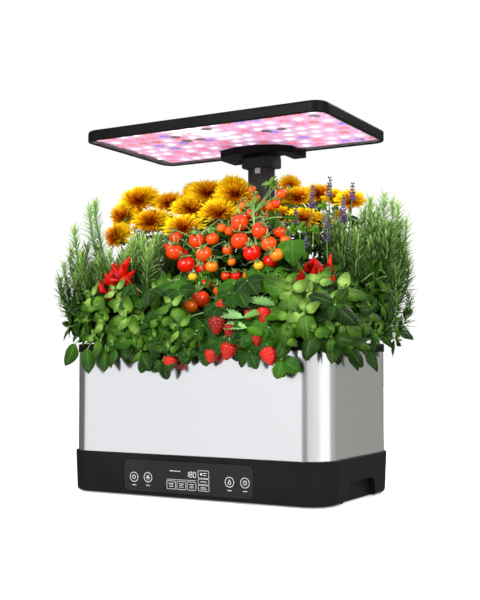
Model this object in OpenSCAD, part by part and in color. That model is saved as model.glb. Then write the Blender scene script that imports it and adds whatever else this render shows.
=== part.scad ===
// Countertop hydroponic garden: a water tank in a steel sleeve on a moulded base, a grow deck with
// twelve pods, a telescopic post at the back and a grow lamp over the plants. Millimetres.
// The origin is the centre of the footprint on the table, +X to the right of the front, +Y to the
// back, +Z up. The front faces -Y.

/* [Tank and sleeve] */
// Width of the steel sleeve
body_w = 390; // [376:1:420]
// Depth of the steel sleeve
body_d = 221; // [216:1:250]
// Corner radius of the steel sleeve
corner_r = 35; // [28:0.5:42]
// Height of the steel sleeve, with the part that stands in the base
sleeve_h = 138; // [128:1:170]
// Thickness of the sheet steel
sleeve_t = 0.8; // [0.6:0.1:1.5]
// Wall of the water tank
tank_wall = 2.4; // [1.8:0.1:3.5]
// Floor of the water tank
tank_floor = 3; // [2:0.5:6]
// Clearance between the tank and the sleeve
tank_gap = 0.4; // [0.2:0.1:1]

/* [Base] */
// Height of the base moulding
base_h = 55.5; // [50:0.5:70]
// How far the base stands proud of the sleeve
base_proud = 3.3; // [2.6:0.1:6]
// How far the base sides draw in from top to bottom
base_draft = 2.3; // [1:0.1:4]
// Radius of the base's bottom edge
base_edge = 5.5; // [3:0.5:8]
// Wall of the base moulding
base_wall = 2.6; // [2:0.1:4]
// Thickness of the shelf that carries the tank
shelf_t = 3; // [2:0.5:5]
// Depth of the recess that the sleeve stands in
lip_h = 3; // [2:0.5:5]
// Height of the rubber feet under the base
foot_h = 1.5; // [1.5:0.5:6]
// Radius of a rubber foot
foot_r = 9; // [6:0.5:11]
// Thickness of the bottom plate
plate_t = 2.5; // [2:0.5:4]
// How far the bottom plate lies in from the widest outline
plate_inset = 14; // [13:0.5:18]
// Depth of a finger recess in the side
grip_depth = 10.5; // [8:0.5:11]
// Height of a finger recess above the table
grip_top = 26.6; // [20:0.1:32]
// Length of a finger recess at its foot
grip_long = 104; // [80:1:120]
// Length of a finger recess at its top
grip_short = 83; // [60:1:90]

/* [Control panel] */
// Width of the touch overlay
panel_w = 197; // [150:1:240]
// Height of the touch overlay
panel_h = 42; // [34:0.5:43]
// Thickness of the touch overlay
panel_t = 1.2; // [0.8:0.1:1.6]
// Corner radius of the touch overlay
panel_r = 8; // [4:0.5:12]
// Groove round the touch overlay
panel_groove = 0.8; // [0.3:0.1:1.5]
// How far the overlay lies below the wall's surface
panel_sink = 0.4; // [0.2:0.1:0.8]

/* [Rim and deck] */
// Height of the top rim
rim_h = 11; // [9:0.5:15]
// How far the rim stands proud of the sleeve
rim_proud = 1.2; // [0.6:0.1:2.5]
// Width of the rim's upper wall
rim_wall = 9.2; // [7:0.1:12]
// Width of the ledge inside the rim
ledge_w = 8; // [5:0.5:10]
// Thickness of the ledge
ledge_t = 4; // [3:0.5:5]
// Thickness of the grow deck
deck_t = 4; // [3:0.5:5]
// Depth of the ribs under the deck
rib_h = 6; // [4:0.5:10]
// Thickness of those ribs
rib_t = 1.6; // [1.2:0.1:2.5]

/* [Pods] */
// Distance between pods across the deck
pod_pitch_x = 94; // [88:1:96]
// Distance between pods from front to back
pod_pitch_y = 63; // [58:1:64]
// How far the middle row lies in front of the centre
pod_shift = 1; // [0:0.5:2]
// Radius of a pod hole in the deck
pod_r = 17.4; // [15:0.1:18.5]
// Height of the collar round a pod hole
collar_h = 1.5; // [1:0.1:3]
// Width of that collar
collar_w = 2.2; // [1.5:0.1:3]
// Length of a basket below its flange
basket_h = 54; // [45:1:62]
// Radius of a basket at its foot
basket_foot_r = 12; // [10:0.1:13]
// Wall of a basket
basket_wall = 1.3; // [1:0.1:2]
// Radius of a basket's flange
flange_r = 20.4; // [19.8:0.1:22]
// Width of the slots in a basket
slot_w = 3.2; // [2:0.1:4]

/* [Post] */
// Width of the inner tube
inner_w = 36; // [30:1:38]
// Depth of the inner tube
inner_d = 22; // [19:1:23]
// Wall of the tubes
tube_wall = 1.6; // [1.2:0.1:1.8]
// Clearance between a tube and the tube in it
tube_gap = 0.4; // [0.2:0.1:0.6]
// Distance from the post's centre to the back of the sleeve
post_in = 17.5; // [16.5:0.5:20]
// Height of the outer post's top above the grow deck
outer_over = 130; // [100:1:150]
// Height of the middle tube's top above the grow deck
middle_over = 200; // [185:1:210]
// Height of the collar's foot above the grow deck
collar_over = 265; // [255:1:275]
// How far each tube reaches down into the tube that it slides in
tube_reach = 130; // [100:1:135]
// Height of the collar
collar_tall = 15; // [12:0.5:20]
// Width of the collar
collar_wide = 52; // [48:1:60]
// Depth of the collar from front to back
collar_deep = 33; // [30:1:36]

/* [Lamp] */
// Width of the lamp
lamp_w = 376; // [340:1:400]
// Depth of the lamp
lamp_d = 219; // [200:1:230]
// Thickness of the lamp
lamp_h = 15.7; // [14:0.1:20]
// Corner radius of the lamp
lamp_r = 20; // [14:1:30]
// How far the lamp reaches behind the post's centre
lamp_over = 31.5; // [26:0.5:34]
// Thickness of the lamp bracket
bracket_t = 10.4; // [8:0.1:12]
// Roof of the lamp housing
roof_t = 1.8; // [1.4:0.1:2.5]
// Wall of the lamp housing
lamp_wall = 3.5; // [3:0.1:5]
// Columns of LEDs
led_cols = 17; // [12:1:17]
// Rows of LEDs
led_rows = 8; // [6:1:8]

/* [Hidden] */
$fn = 64;
eps = 0.01;
fit = 0.3;            // clearance of a seated piece
soft_gap = 0.3;       // clearance between two plants

// Levels
base_foot = foot_h;
base_top = base_foot + base_h;
shelf_top = base_top - lip_h;
shelf_low = shelf_top - shelf_t;
plate_top = base_foot + plate_t;
sleeve_top = shelf_top + sleeve_h;
tank_in = shelf_top + tank_floor;
ledge_top = sleeve_top + ledge_t;
rim_top = sleeve_top + rim_h;
deck_top = ledge_top + deck_t;
collar_top = deck_top + collar_h;
flange_t = 2;
flange_top = collar_top + flange_t;

// Outlines, each as [width, depth, corner radius]
function outline(grow) = [body_w + 2 * grow, body_d + 2 * grow, corner_r + grow];
base_out = outline(base_proud);
rim_out = outline(rim_proud);
tank_out = outline(-sleeve_t - tank_gap);
deck_out = outline(rim_proud - rim_wall - fit);

// Base wall: how far it leans, and its outer surface as [height, inset]
edge_round = 0.8;
wall_high = base_top - edge_round;
wall_low = base_foot + base_edge;
lean = atan(base_draft / (wall_high - wall_low));
base_rings = [
    [base_top, edge_round],
    [wall_high, 0],
    for (a = [0 : 22.5 : 90])
        [wall_low - base_edge * sin(a), base_draft + base_edge * (1 - cos(a))]
];
function wall_inset(z) = base_draft * (wall_high - z) / (wall_high - wall_low);

// Panel centre, measured along the leaning wall below its top
panel_down = 7 + panel_h / 2;
board_gap = 0.2;
window_w = panel_w - 30;
window_h = panel_h - 13;

// Power inlet in the back wall
inlet_x = corner_r + 10 - body_w / 2;
inlet_down = 30;
inlet_r = 4;

// Screws that hold the plate and the post
screw_r = 1.4;
screw_head_r = 3;
screw_head_h = 1.6;
screw_len = 7;
boss_r = 4;
vent_x = 105 - body_w / 2;
vent_pitch = 10;
vent_w = 3;
vent_l = 36;
shelf_rib_x = 95;
shelf_rib_h = 8;
boss_places = [
    for (x = [-1, 1], y = [-1, 1]) [x * (body_w / 2 - 55), y * (body_d / 2 - 30)],
    [-60, 0], [60, 0]
];
foot_places = [for (x = [-1, 1], y = [-1, 1]) [x * (body_w / 2 - 29), y * (body_d / 2 - 29)]];
foot_sink = 1;

// Post: each tube is one wall and one clearance larger than the one in it
post_back = body_d / 2 - post_in;
outer_top = deck_top + outer_over;
middle_top = deck_top + middle_over;
collar_foot = deck_top + collar_over;
middle_foot = outer_top - tube_reach;
inner_foot = middle_top - tube_reach;
slide_down = 10;
step = tube_gap + tube_wall;
middle_w = inner_w + 2 * step;
middle_d = inner_d + 2 * step;
outer_w = middle_w + 2 * step;
outer_d = middle_d + 2 * step;
socket_wall = 2;
socket_floor = 20;
outer_foot = socket_floor + socket_wall;
plug_h = 6;
guide_h = 8;
guide_over = 4;
guide_wall = 2;
guide_gap = 0.25;
post_screw_x = 12;
channel_w = outer_w + 2 * fit;
channel_y = post_back - outer_d / 2 - fit;
tube_r = 3;

// Lamp
lamp_foot = collar_foot + collar_tall + bracket_t;
lamp_top = lamp_foot + lamp_h;
lens_t = 1.2;
lens_sink = 1.6;
led_board_t = 1.6;
chip_h = 0.9;
chip_w = 5;
chip_gap = 0.9;
board_step = 3.3;
roof_step = 2.2;
roof_low = lamp_top - roof_t;
lens_top = lamp_foot + lens_sink + lens_t;
board_top = lens_top + chip_gap + chip_h + led_board_t;
led_pitch_x = 21;
led_pitch_y = 25.5;
led_stagger = led_pitch_x / 2;
flange_in = 12;
flange_up = 4;
lamp_rear = post_back + lamp_over;
lamp_back = lamp_rear - lamp_d / 2;
bracket_half = 61;
shoulder_half = 48.5;
nose_half = 18;
bracket_front = [post_back - 17, post_back - 37, post_back - 50];
notch_half = 41;
notch_y = post_back - 5;
tube_seat = 2.5;
collar_edge = 1.4;
collar_tenon = bracket_t - 2.4;
slot_pitch = 9;
slot_front = lamp_back + 25;
slot_l = 28;
slot_narrow = 2.4;
driver_w = 90;
driver_d = 30;
driver_t = 1.2;
cover_w = 60;
cover_d = 16;
cover_t = 3.4;
driver_top = roof_low - 0.2;
lamp_screw_x = 51;
lamp_screw_y = lamp_rear - 9;

// Release button on the inner tube
button_w = 8.4;
button_proud = 1.6;
button_z = collar_foot - button_w / 2 - 0.4;
button_slack = 0.15;
spring_long = 34;

// Refill flap, hinged at its back edge
flap_w = 40;
flap_l = 30;
flap_t = 2;
flap_y = -48;
pin_r = 1;
pin_gap = 0.05;
knuckle_r = 2.4;
knuckle_w = 24;
ear_w = 3;
pin_y = flap_y + flap_l + knuckle_r + 0.6;
pin_z = collar_top + knuckle_r + 0.4;
chute_w = 34;
chute_l = 24;
chute_y = flap_y + 3 + chute_l / 2;
chute_wall = 1.6;
chute_foot = ledge_top - 8;

// Float in its guide under the deck
float_y = pod_pitch_y / 2 - pod_shift;
float_r = 8;
float_h = 14;
guide_r = 9;
guide_cup_wall = 1.6;
guide_foot = ledge_top - 46;
stem_r = 1.5;
stem_gap = 0.1;
float_tip = deck_top + 3;
float_rise = 28;

// Pump on the tank floor
pump_x = -94;
pump_w = 40;
pump_d = 34;
pump_h = 36;
pump_y = channel_y + outer_d - 22;
shaft_r = 1.25;
shaft_gap = 0.05;
rotor_z = tank_in + 16;
magnet_r = 7;
magnet_l = 14;
impeller_r = 10;
impeller_l = 6;
chamber_gap = 0.8;
pump_cover_t = 3;
riser_r = 5;
riser_wall = 1.5;
riser_top = ledge_top - rib_h - 4;

// Plants
ROWS = ["front", "middle", "back"];
stem_foot = collar_top - 8;
plant_stem_r = 2.6;
stem_in = 12;         // how far a stem reaches up into its foliage
sponge_top = collar_top + 0.5;
overhang_side = 46;
overhang_front = 24;
overhang_back = 24;
foliage_low = rim_top + 2.5;
front_top = deck_top + 100;
plant_top = collar_foot + collar_tall - 2 * slide_down - 5;
function pod_x(i) = (i - 1.5) * pod_pitch_x;
function pod_y(j) = (j - 1) * pod_pitch_y - pod_shift;
function cell_x(i) = i < 0 ? -body_w / 2 - overhang_side
    : i > 2 ? body_w / 2 + overhang_side : pod_x(i) + pod_pitch_x / 2;
function cell_y(j) = j < 0 ? -body_d / 2 - overhang_front
    : j > 1 ? body_d / 2 + overhang_back : pod_y(j) + pod_pitch_y / 2;
PLANTS = [
    ["basil_left", "strawberry_left", "strawberry_right", "basil_right"],
    ["rosemary_left", "tomato_left", "tomato_right", "chilli_right"],
    ["marigold_left", "marigold_centre", "marigold_right", "rosemary_right"]
];
// Foliage outlines, turned about an upright axis: [height over the deck, radius]
BASIL = [[-34, 52], [-27, 68], [0, 76], [34, 74], [62, 60], [84, 36], [92, 12]];
STRAWBERRY = [[-36, 54], [-28, 70], [-6, 74], [26, 66], [60, 52], [84, 34], [94, 10]];
CHILLI = [[-30, 66], [-20, 84], [10, 92], [40, 86], [70, 66], [100, 44], [113, 14]];
TOMATO = [[6, 40], [30, 54], [80, 58], [130, 52], [164, 38], [180, 12]];
MARIGOLD = [[4, 22], [34, 34], [84, 52], [122, 66], [150, 70], [174, 52], [190, 16]];
ROSEMARY = [[2, 38], [24, 56], [70, 64], [110, 58], [140, 40], [152, 14]];
// The plant in each pod: its foliage, how far that leans to the right and back, and its tint
FOLIAGE = [
    [[BASIL, -12, -4, "ForestGreen"], [STRAWBERRY, -2, -2, "SeaGreen"],
        [STRAWBERRY, 2, -2, "SeaGreen"], [BASIL, 12, -4, "ForestGreen"]],
    [[ROSEMARY, -44, -8, "OliveDrab"], [TOMATO, -2, -2, "Tomato"], [TOMATO, 2, -2, "Tomato"],
        [CHILLI, 8, 0, "DarkGreen"]],
    [[MARIGOLD, -16, 0, "Orange"], [MARIGOLD, -4, 0, "Gold"], [MARIGOLD, 4, -3, "Orange"],
        [ROSEMARY, 24, 8, "OliveDrab"]]
];
// Flower heads and upright shoots, turned about axes of their own: [height under the top, radius]
HEAD = [[96, 4], [42, 6], [33, 17], [20, 26], [9, 20], [0, 5]];
SHOOT = [[120, 9], [86, 17], [44, 14], [16, 8], [0, 2.5]];
// What stands on top of a plant: its name, one outline, and the place and the top of each, from the
// foliage's axis and the deck
CROWNS = [
    ["rosemary_left", SHOOT, [[-6, -46, 209], [-24, -58, 190], [-43, -34, 164], [28, -42, 166],
        [60, -30, 156], [-36, 4, 150], [0, 16, 178], [38, 10, 168], [-14, -18, 196], [74, 16, 152]]],
    ["rosemary_right", SHOOT, [[33, 15, 209], [54, 24, 193], [14, 8, 201], [60, -6, 162], [-16, 13, 163],
        [-34, 22, 150], [26, -22, 160], [-2, 38, 158], [36, 44, 172], [-10, -22, 140]]],
    ["marigold_left", HEAD, [[-43, 8, 243], [11, 12, 240], [-62, -12, 216], [-10, -14, 207], [-60, -8, 184],
        [52, -6, 222], [-29, 48, 213], [18, 50, 239], [-6, 44, 166], [-55, 24, 174], [50, 20, 250]]],
    ["marigold_centre", HEAD, [[4, -12, 213], [-30, 16, 253], [26, -4, 243], [-38, 52, 212], [-4, 50, 232],
        [-18, 42, 172]]],
    ["marigold_right", HEAD, [[20, 10, 229], [50, 24, 234], [6, -12, 201], [34, -14, 197], [-4, 52, 218],
        [32, 54, 232], [98, 12, 219], [72, 16, 232], [28, 42, 178]]]
];
over_front = front_top + soft_gap / 2;   // where the rosemary grows out over the basil
flower_rise = 168;                       // height of the lowest heads' feet over the deck
over_back = deck_top + flower_rise;      // where the marigolds grow out over the rosemary
over_reach = 78;
function basket_name(i, j) = str("basket_", ROWS[j], "_", i + 1);
COLS = [0 : 3];
RANKS = [0 : 2];

// ---- shared shapes ----

module rounded_rect(w, d, r) {
    square([w - 2 * r, d], center = true);
    square([w, d - 2 * r], center = true);
    for (x = [-1, 1], y = [-1, 1])
        translate([x * (w / 2 - r), y * (d / 2 - r)]) circle(r);
}

// A prism of one outline between two heights
module slab(o, low, high) {
    translate([0, 0, low]) linear_extrude(high - low) rounded_rect(o[0], o[1], o[2]);
}

function inset(o, i) = [o[0] - 2 * i, o[1] - 2 * i, o[2] - i];

// A rounded block whose sides follow rings of [height, inset], from the top down: four revolved
// corners and two crossing prisms
module ringed_block(o, rings) {
    r = o[2];
    n = len(rings) - 1;
    for (x = [-1, 1], y = [-1, 1])
        translate([x * (o[0] / 2 - r), y * (o[1] / 2 - r), 0]) rotate_extrude()
            polygon([[0, rings[0][0]], for (s = rings) [r - s[1], s[0]], [0, rings[n][0]]]);
    for (k = [0, 1])
        rotate([90, 0, 90 * k]) linear_extrude(o[1 - k] - 2 * r, center = true)
            polygon([for (s = rings) [o[k] / 2 - s[1], s[0]],
                for (i = [n : -1 : 0]) [rings[i][1] - o[k] / 2, rings[i][0]]]);
}

// A box given by its low and high corners
module span(low, high) {
    translate(low) cube(high - low);
}

// A box tube, open at both ends
module box_tube(w, d, wall, low, high) {
    translate([0, post_back, 0]) difference() {
        slab([w, d, tube_r], low, high);
        slab([w - 2 * wall, d - 2 * wall, tube_r - wall / 2], low - 1, high + 1);
    }
}

// Moves to a point on the leaning front or back wall, `down` below its top edge
module on_wall(side, down) {
    rotate([0, 0, side == "back" ? 180 : 0])
        translate([0, -base_out[1] / 2, wall_high])
            rotate([lean, 0, 0]) translate([0, 0, -down]) children();
}

// A plate that stands in the wall, from one depth to another
module wall_plate(w, h, r, from, to) {
    translate([0, to, 0]) rotate([90, 0, 0]) linear_extrude(to - from) rounded_rect(w, h, r);
}

module screw() {
    cylinder(r = screw_head_r, h = screw_head_h);
    translate([0, 0, screw_head_h]) cylinder(r = screw_r, h = screw_len);
}

// ---- base ----

module finger_recess(side) {
    low = base_foot - 1;
    r = 9;
    x = base_out[0] / 2;
    mirror([side < 0 ? 1 : 0, 0, 0]) hull() {
        span([x - grip_depth, -grip_long / 2 - 2, low], [x + 2, grip_long / 2 - 2, low + 1]);
        for (y = [-1, 1])
            translate([x - grip_depth, y * (grip_short / 2 - r) + 2, grip_top - r])
                rotate([0, 90, 0]) cylinder(r = r, h = grip_depth + 2, $fn = 32);
    }
}

module base_housing() {
    cavity = [
        [shelf_low, base_wall],
        [wall_low + 3, wall_inset(wall_low + 3) + base_wall],
        [wall_low - 1, base_draft + base_wall + 0.8],
        [base_foot + 2.6, plate_inset - 1]
    ];
    sx = outer_w / 2 + fit + socket_wall;
    sy = outer_d / 2 + fit + socket_wall;
    color("#1b1b1c") difference() {
        union() {
            difference() {
                ringed_block(base_out, base_rings);
                ringed_block(base_out, cavity);
            }
            for (p = boss_places)
                translate([p[0], p[1], plate_top]) cylinder(r = boss_r, h = shelf_low - plate_top + 1);
            for (k = [-1 : 1]) {
                x = k * shelf_rib_x;
                span([x - rib_t / 2, -body_d / 2 + 14, shelf_low - shelf_rib_h],
                    [x + rib_t / 2, body_d / 4, shelf_low + 1]);
            }
            span([-sx, post_back - sy, socket_floor], [sx, post_back + sy - 3, shelf_low + 1]);
            for (side = [-1, 1]) {
                x = base_out[0] / 2 - grip_depth;
                y = grip_long / 2 + 2;
                mirror([side < 0 ? 1 : 0, 0, 0])
                    span([x - base_wall, -y - 2, base_foot], [x + grip_depth - 5, y - 2, grip_top + 2.6]);
            }
        }
        slab(outline(fit), shelf_top, base_top + 1);
        slab(inset(base_out, plate_inset - fit), base_foot - 1, plate_top);
        for (p = boss_places)
            translate([p[0], p[1], plate_top - 1]) cylinder(r = screw_r, h = screw_len + 2);
        translate([0, post_back, 0])
            slab([outer_w + 2 * fit, outer_d + 2 * fit, tube_r + fit], outer_foot, base_top);
        for (x = [-1, 1])
            translate([x * post_screw_x, post_back, socket_floor - 1]) cylinder(r = screw_r + 0.2, h = 4);
        for (side = [-1, 1])
            finger_recess(side);
        on_wall("front", panel_down) {
            wall_plate(panel_w + 2 * panel_groove, panel_h + 2 * panel_groove, panel_r + panel_groove,
                -2, panel_sink + panel_t);
            wall_plate(window_w, window_h, 3, -2, base_wall + 3);
        }
        on_wall("back", inlet_down) translate([inlet_x, -2, 0])
            rotate([-90, 0, 0]) cylinder(r = inlet_r + 0.15, h = base_wall + 6);
    }
}

module base_plate() {
    color("#202021") difference() {
        slab(inset(base_out, plate_inset), base_foot, plate_top);
        for (p = boss_places) translate([p[0], p[1], 0]) {
            translate([0, 0, base_foot - 1]) cylinder(r = screw_r + 0.2, h = plate_t + 2);
            translate([0, 0, base_foot - 1]) cylinder(r = screw_head_r + 0.2, h = 1 + screw_head_h);
        }
        for (p = foot_places)
            translate([p[0], p[1], base_foot - 1]) cylinder(r = foot_r + 0.2, h = 1 + foot_sink);
        for (k = [-2 : 2])
            translate([vent_x + k * vent_pitch, 0, base_foot - 1])
                linear_extrude(plate_t + 2) square([vent_w, vent_l], center = true);
    }
}

module base_screws() {
    color("silver") {
        for (p = boss_places)
            translate([p[0], p[1], base_foot]) screw();
        for (x = [-1, 1])
            translate([x * post_screw_x, post_back, socket_floor - screw_head_h]) screw();
    }
}

module rubber_feet() {
    color("#b8b6b0") for (p = foot_places)
        translate([p[0], p[1], 0]) cylinder(r = foot_r, h = foot_h + foot_sink);
}

module control_panel() {
    color("#333335") on_wall("front", panel_down)
        wall_plate(panel_w, panel_h, panel_r, panel_sink, panel_sink + panel_t);
}

module control_board() {
    back = base_wall + board_gap;
    color("DarkGreen") on_wall("front", panel_down) {
        wall_plate(window_w + 12, window_h + 4, 1, back, back + 1.6);
        translate([0, 0, 1]) wall_plate(58, 22, 1, panel_sink + panel_t + board_gap, back + eps);
        for (x = [-1, 1], dx = [0, 17])
            translate([x * (54 + dx), 0, -4])
                wall_plate(8, 8, 2, panel_sink + panel_t + board_gap, back + eps);
    }
}

module power_inlet() {
    color("#151515") on_wall("back", inlet_down) translate([inlet_x, 0, 0]) difference() {
        union() {
            translate([0, -1, 0]) rotate([-90, 0, 0]) cylinder(r = inlet_r + 1.6, h = 1);
            rotate([-90, 0, 0]) cylinder(r = inlet_r, h = base_wall + 1.4);
            translate([-5, base_wall + 0.3, -5.5]) cube([10, 11, 10.5]);
        }
        difference() {
            translate([0, -2, 0]) rotate([-90, 0, 0]) cylinder(r = 2.8, h = 12);
            translate([0, -2, 0]) rotate([-90, 0, 0]) cylinder(r = 1, h = 13);
        }
    }
}

// ---- tank ----

module steel_sleeve() {
    color("#d5d8dc") difference() {
        slab(outline(0), shelf_top, sleeve_top);
        slab(outline(-sleeve_t), shelf_top - 1, sleeve_top + 1);
    }
}

module water_tank() {
    color("#e9e9e6") difference() {
        slab(tank_out, shelf_top, sleeve_top);
        difference() {
            slab(inset(tank_out, tank_wall), tank_in, sleeve_top + 1);
            span([-channel_w / 2 - tank_wall, channel_y - tank_wall, shelf_top],
                [channel_w / 2 + tank_wall, body_d, sleeve_top + 2]);
        }
        span([-channel_w / 2, channel_y, shelf_top - 1], [channel_w / 2, body_d, sleeve_top + 3]);
    }
}

module top_rim() {
    tongue = inset(tank_out, tank_wall + fit);
    color("#1b1b1c") difference() {
        union() {
            ringed_block(rim_out, [[rim_top, 1.6], [rim_top - 0.6, 0.5], [rim_top - 1.8, 0],
                [sleeve_top + eps, 0]]);
            slab(tongue, sleeve_top - 6, sleeve_top + 1);
        }
        slab(inset(rim_out, rim_wall), ledge_top, rim_top + 1);
        slab(inset(rim_out, rim_wall + ledge_w), sleeve_top, rim_top + 1);
        slab(inset(tongue, 2), sleeve_top - 7, sleeve_top);
        span([-channel_w / 2, channel_y, sleeve_top - 7],
            [channel_w / 2, post_back + outer_d / 2 + fit, rim_top + 1]);
        span([-channel_w / 2 - tank_wall - fit, channel_y - tank_wall - fit, sleeve_top - 7],
            [channel_w / 2 + tank_wall + fit, body_d, sleeve_top]);
    }
}

// ---- deck ----

module deck_ribs() {
    long = deck_out[0] / 2 - ledge_w - 3;
    deep = deck_out[1] / 2 - ledge_w - 3;
    low = ledge_top - rib_h;
    for (j = [0, 1], side = [-1, 1]) {
        y = cell_y(j);
        mirror([side < 0 ? 1 : 0, 0, 0])
            span([26, y - rib_t / 2, low], [long, y + rib_t / 2, ledge_top + 1]);
    }
    for (i = [0, 2])
        span([cell_x(i) - rib_t / 2, -deep, low], [cell_x(i) + rib_t / 2, deep, ledge_top + 1]);
}

module grow_deck() {
    ear_x = knuckle_w / 2 + fit;
    color("#232324") difference() {
        union() {
            slab(deck_out, ledge_top, deck_top);
            deck_ribs();
            for (i = COLS, j = RANKS)
                translate([pod_x(i), pod_y(j), ledge_top - 2])
                    cylinder(r = pod_r + collar_w, h = collar_top - ledge_top + 2);
            translate([0, chute_y, 0])
                slab([chute_w + 2 * chute_wall, chute_l + 2 * chute_wall, 3], chute_foot, collar_top);
            for (side = [-1, 1])
                mirror([side < 0 ? 1 : 0, 0, 0]) {
                    span([ear_x, pin_y - knuckle_r, deck_top - 1],
                        [ear_x + ear_w, pin_y + knuckle_r, pin_z]);
                    translate([ear_x, pin_y, pin_z]) rotate([0, 90, 0]) cylinder(r = knuckle_r, h = ear_w);
                }
        }
        for (i = COLS, j = RANKS)
            translate([pod_x(i), pod_y(j), ledge_top - 3]) cylinder(r = pod_r, h = 20);
        translate([0, chute_y, 0]) slab([chute_w, chute_l, 2], chute_foot - 1, collar_top + 1);
        translate([-ear_x - ear_w - 1, pin_y, pin_z]) rotate([0, 90, 0])
            cylinder(r = pin_r + pin_gap, h = 2 * (ear_x + ear_w + 1));
        translate([0, float_y, ledge_top - 1]) cylinder(r = stem_r + stem_gap, h = deck_t + 2);
        span([-channel_w / 2 - fit, channel_y - fit, ledge_top - rib_h - 1],
            [channel_w / 2 + fit, body_d, collar_top + 1]);
    }
}

module refill_flap() {
    low = collar_top + 0.2;
    color("#2c2c2e") difference() {
        union() {
            translate([0, flap_y + flap_l / 2, 0]) slab([flap_w, flap_l, 3], low, low + flap_t);
            span([-knuckle_w / 2, flap_y + flap_l - 2, low], [knuckle_w / 2, pin_y, low + flap_t]);
            translate([-knuckle_w / 2, pin_y, pin_z]) rotate([0, 90, 0])
                cylinder(r = knuckle_r, h = knuckle_w);
            span([-8, flap_y - 2, low + 0.4], [8, flap_y + 2, low + flap_t]);
        }
        translate([-knuckle_w / 2 - 1, pin_y, pin_z]) rotate([0, 90, 0])
            cylinder(r = pin_r + pin_gap, h = knuckle_w + 2);
    }
}

module refill_pin() {
    half = knuckle_w / 2 + fit + ear_w;
    color("silver") translate([-half, pin_y, pin_z]) rotate([0, 90, 0]) cylinder(r = pin_r, h = 2 * half);
}

module float_guide() {
    color("#dcdcd8") translate([0, float_y, 0]) difference() {
        translate([0, 0, guide_foot]) cylinder(r = guide_r + guide_cup_wall, h = ledge_top - guide_foot);
        translate([0, 0, guide_foot + 2]) cylinder(r = guide_r, h = ledge_top);
        translate([0, 0, guide_foot - 1]) cylinder(r = 4, h = 4);
        for (a = [0, 90])
            rotate([0, 0, a]) span([-1.5, -guide_r - 3, guide_foot + 8], [1.5, guide_r + 3, ledge_top - 6]);
    }
}

module water_float() {
    low = guide_foot + 2 + 0.2;
    color("#d23b2a") translate([0, float_y, low]) difference() {
        union() {
            cylinder(r = float_r, h = float_h);
            cylinder(r = stem_r, h = float_tip - low);
        }
        translate([0, 0, -1]) cylinder(r = 5, h = 6);
    }
}

// ---- pump: the shaft runs from front to back ----

module pump_axis(y) {
    translate([pump_x, y, rotor_z]) rotate([-90, 0, 0]) children();
}
pump_front = pump_y - pump_d / 2;
wheel_front = pump_front + pump_cover_t + 0.6;
magnet_front = wheel_front + impeller_l;
riser_x = pump_x + impeller_r - 2;
riser_y = wheel_front + impeller_l / 2 + 2;

module pump_housing() {
    front = pump_front + pump_cover_t;
    color("#202226") difference() {
        union() {
            translate([pump_x, (front + pump_y + pump_d / 2) / 2, 0])
                slab([pump_w, pump_d - pump_cover_t, 4], tank_in, tank_in + pump_h - 6);
            translate([riser_x, riser_y, tank_in + 20])
                cylinder(r = riser_r - riser_wall - 0.1, h = pump_h - 10);
        }
        pump_axis(front - 1) cylinder(r = impeller_r + chamber_gap, h = magnet_front - front + 1.6);
        pump_axis(front) cylinder(r = magnet_r + chamber_gap, h = magnet_front + magnet_l + 1 - front);
        translate([riser_x, riser_y, rotor_z])
            cylinder(r = riser_r - 2 * riser_wall, h = pump_h + 8);
        pump_axis(front) cylinder(r = shaft_r, h = magnet_front + magnet_l + 4 - front);
    }
}

module pump_cover() {
    color("#2a2d33") difference() {
        span([pump_x - pump_w / 2, pump_front, tank_in],
            [pump_x + pump_w / 2, pump_front + pump_cover_t, tank_in + pump_h - 6]);
        for (z = [-9 : 4.5 : 9])
            if (abs(z) > 2)
                span([pump_x - 8, pump_front - 1, rotor_z + z - 1],
                    [pump_x + 8, pump_front + pump_cover_t + 1, rotor_z + z + 1]);
        pump_axis(pump_front + pump_cover_t - 1.6) cylinder(r = shaft_r, h = 4);
    }
}

module pump_rotor() {
    color("#4a4a50") difference() {
        union() {
            pump_axis(magnet_front) cylinder(r = magnet_r, h = magnet_l);
            pump_axis(magnet_front - 1.5) cylinder(r = impeller_r, h = 1.5);
            pump_axis(wheel_front) cylinder(r = 3, h = impeller_l);
            for (a = [0 : 60 : 300])
                pump_axis(wheel_front) rotate([0, 0, a])
                    span([1.8, -0.6, 0], [impeller_r, 0.6, impeller_l - 1]);
        }
        pump_axis(wheel_front - 1) cylinder(r = shaft_r + shaft_gap, h = impeller_l + magnet_l + 2);
    }
}

module pump_shaft() {
    front = pump_front + pump_cover_t - 1.6;
    color("white") pump_axis(front) cylinder(r = shaft_r, h = magnet_front + magnet_l + 4 - front);
}

module pump_riser() {
    low = tank_in + pump_h - 6;
    color("#30343a") translate([riser_x, riser_y, 0]) difference() {
        translate([0, 0, low]) cylinder(r = riser_r, h = riser_top - low);
        translate([0, 0, tank_in]) cylinder(r = riser_r - riser_wall, h = riser_top);
    }
}

// ---- post ----

module outer_post() {
    color("#19191a") {
        difference() {
            union() {
                box_tube(outer_w, outer_d, tube_wall, outer_foot, outer_top);
                translate([0, post_back, 0])
                    slab([outer_w - 1, outer_d - 1, tube_r], outer_foot, outer_foot + plug_h);
            }
            for (x = [-1, 1])
                translate([x * post_screw_x, post_back, outer_foot - 1])
                    cylinder(r = screw_r + 0.05, h = plug_h + 2);
        }
    }
}

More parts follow.
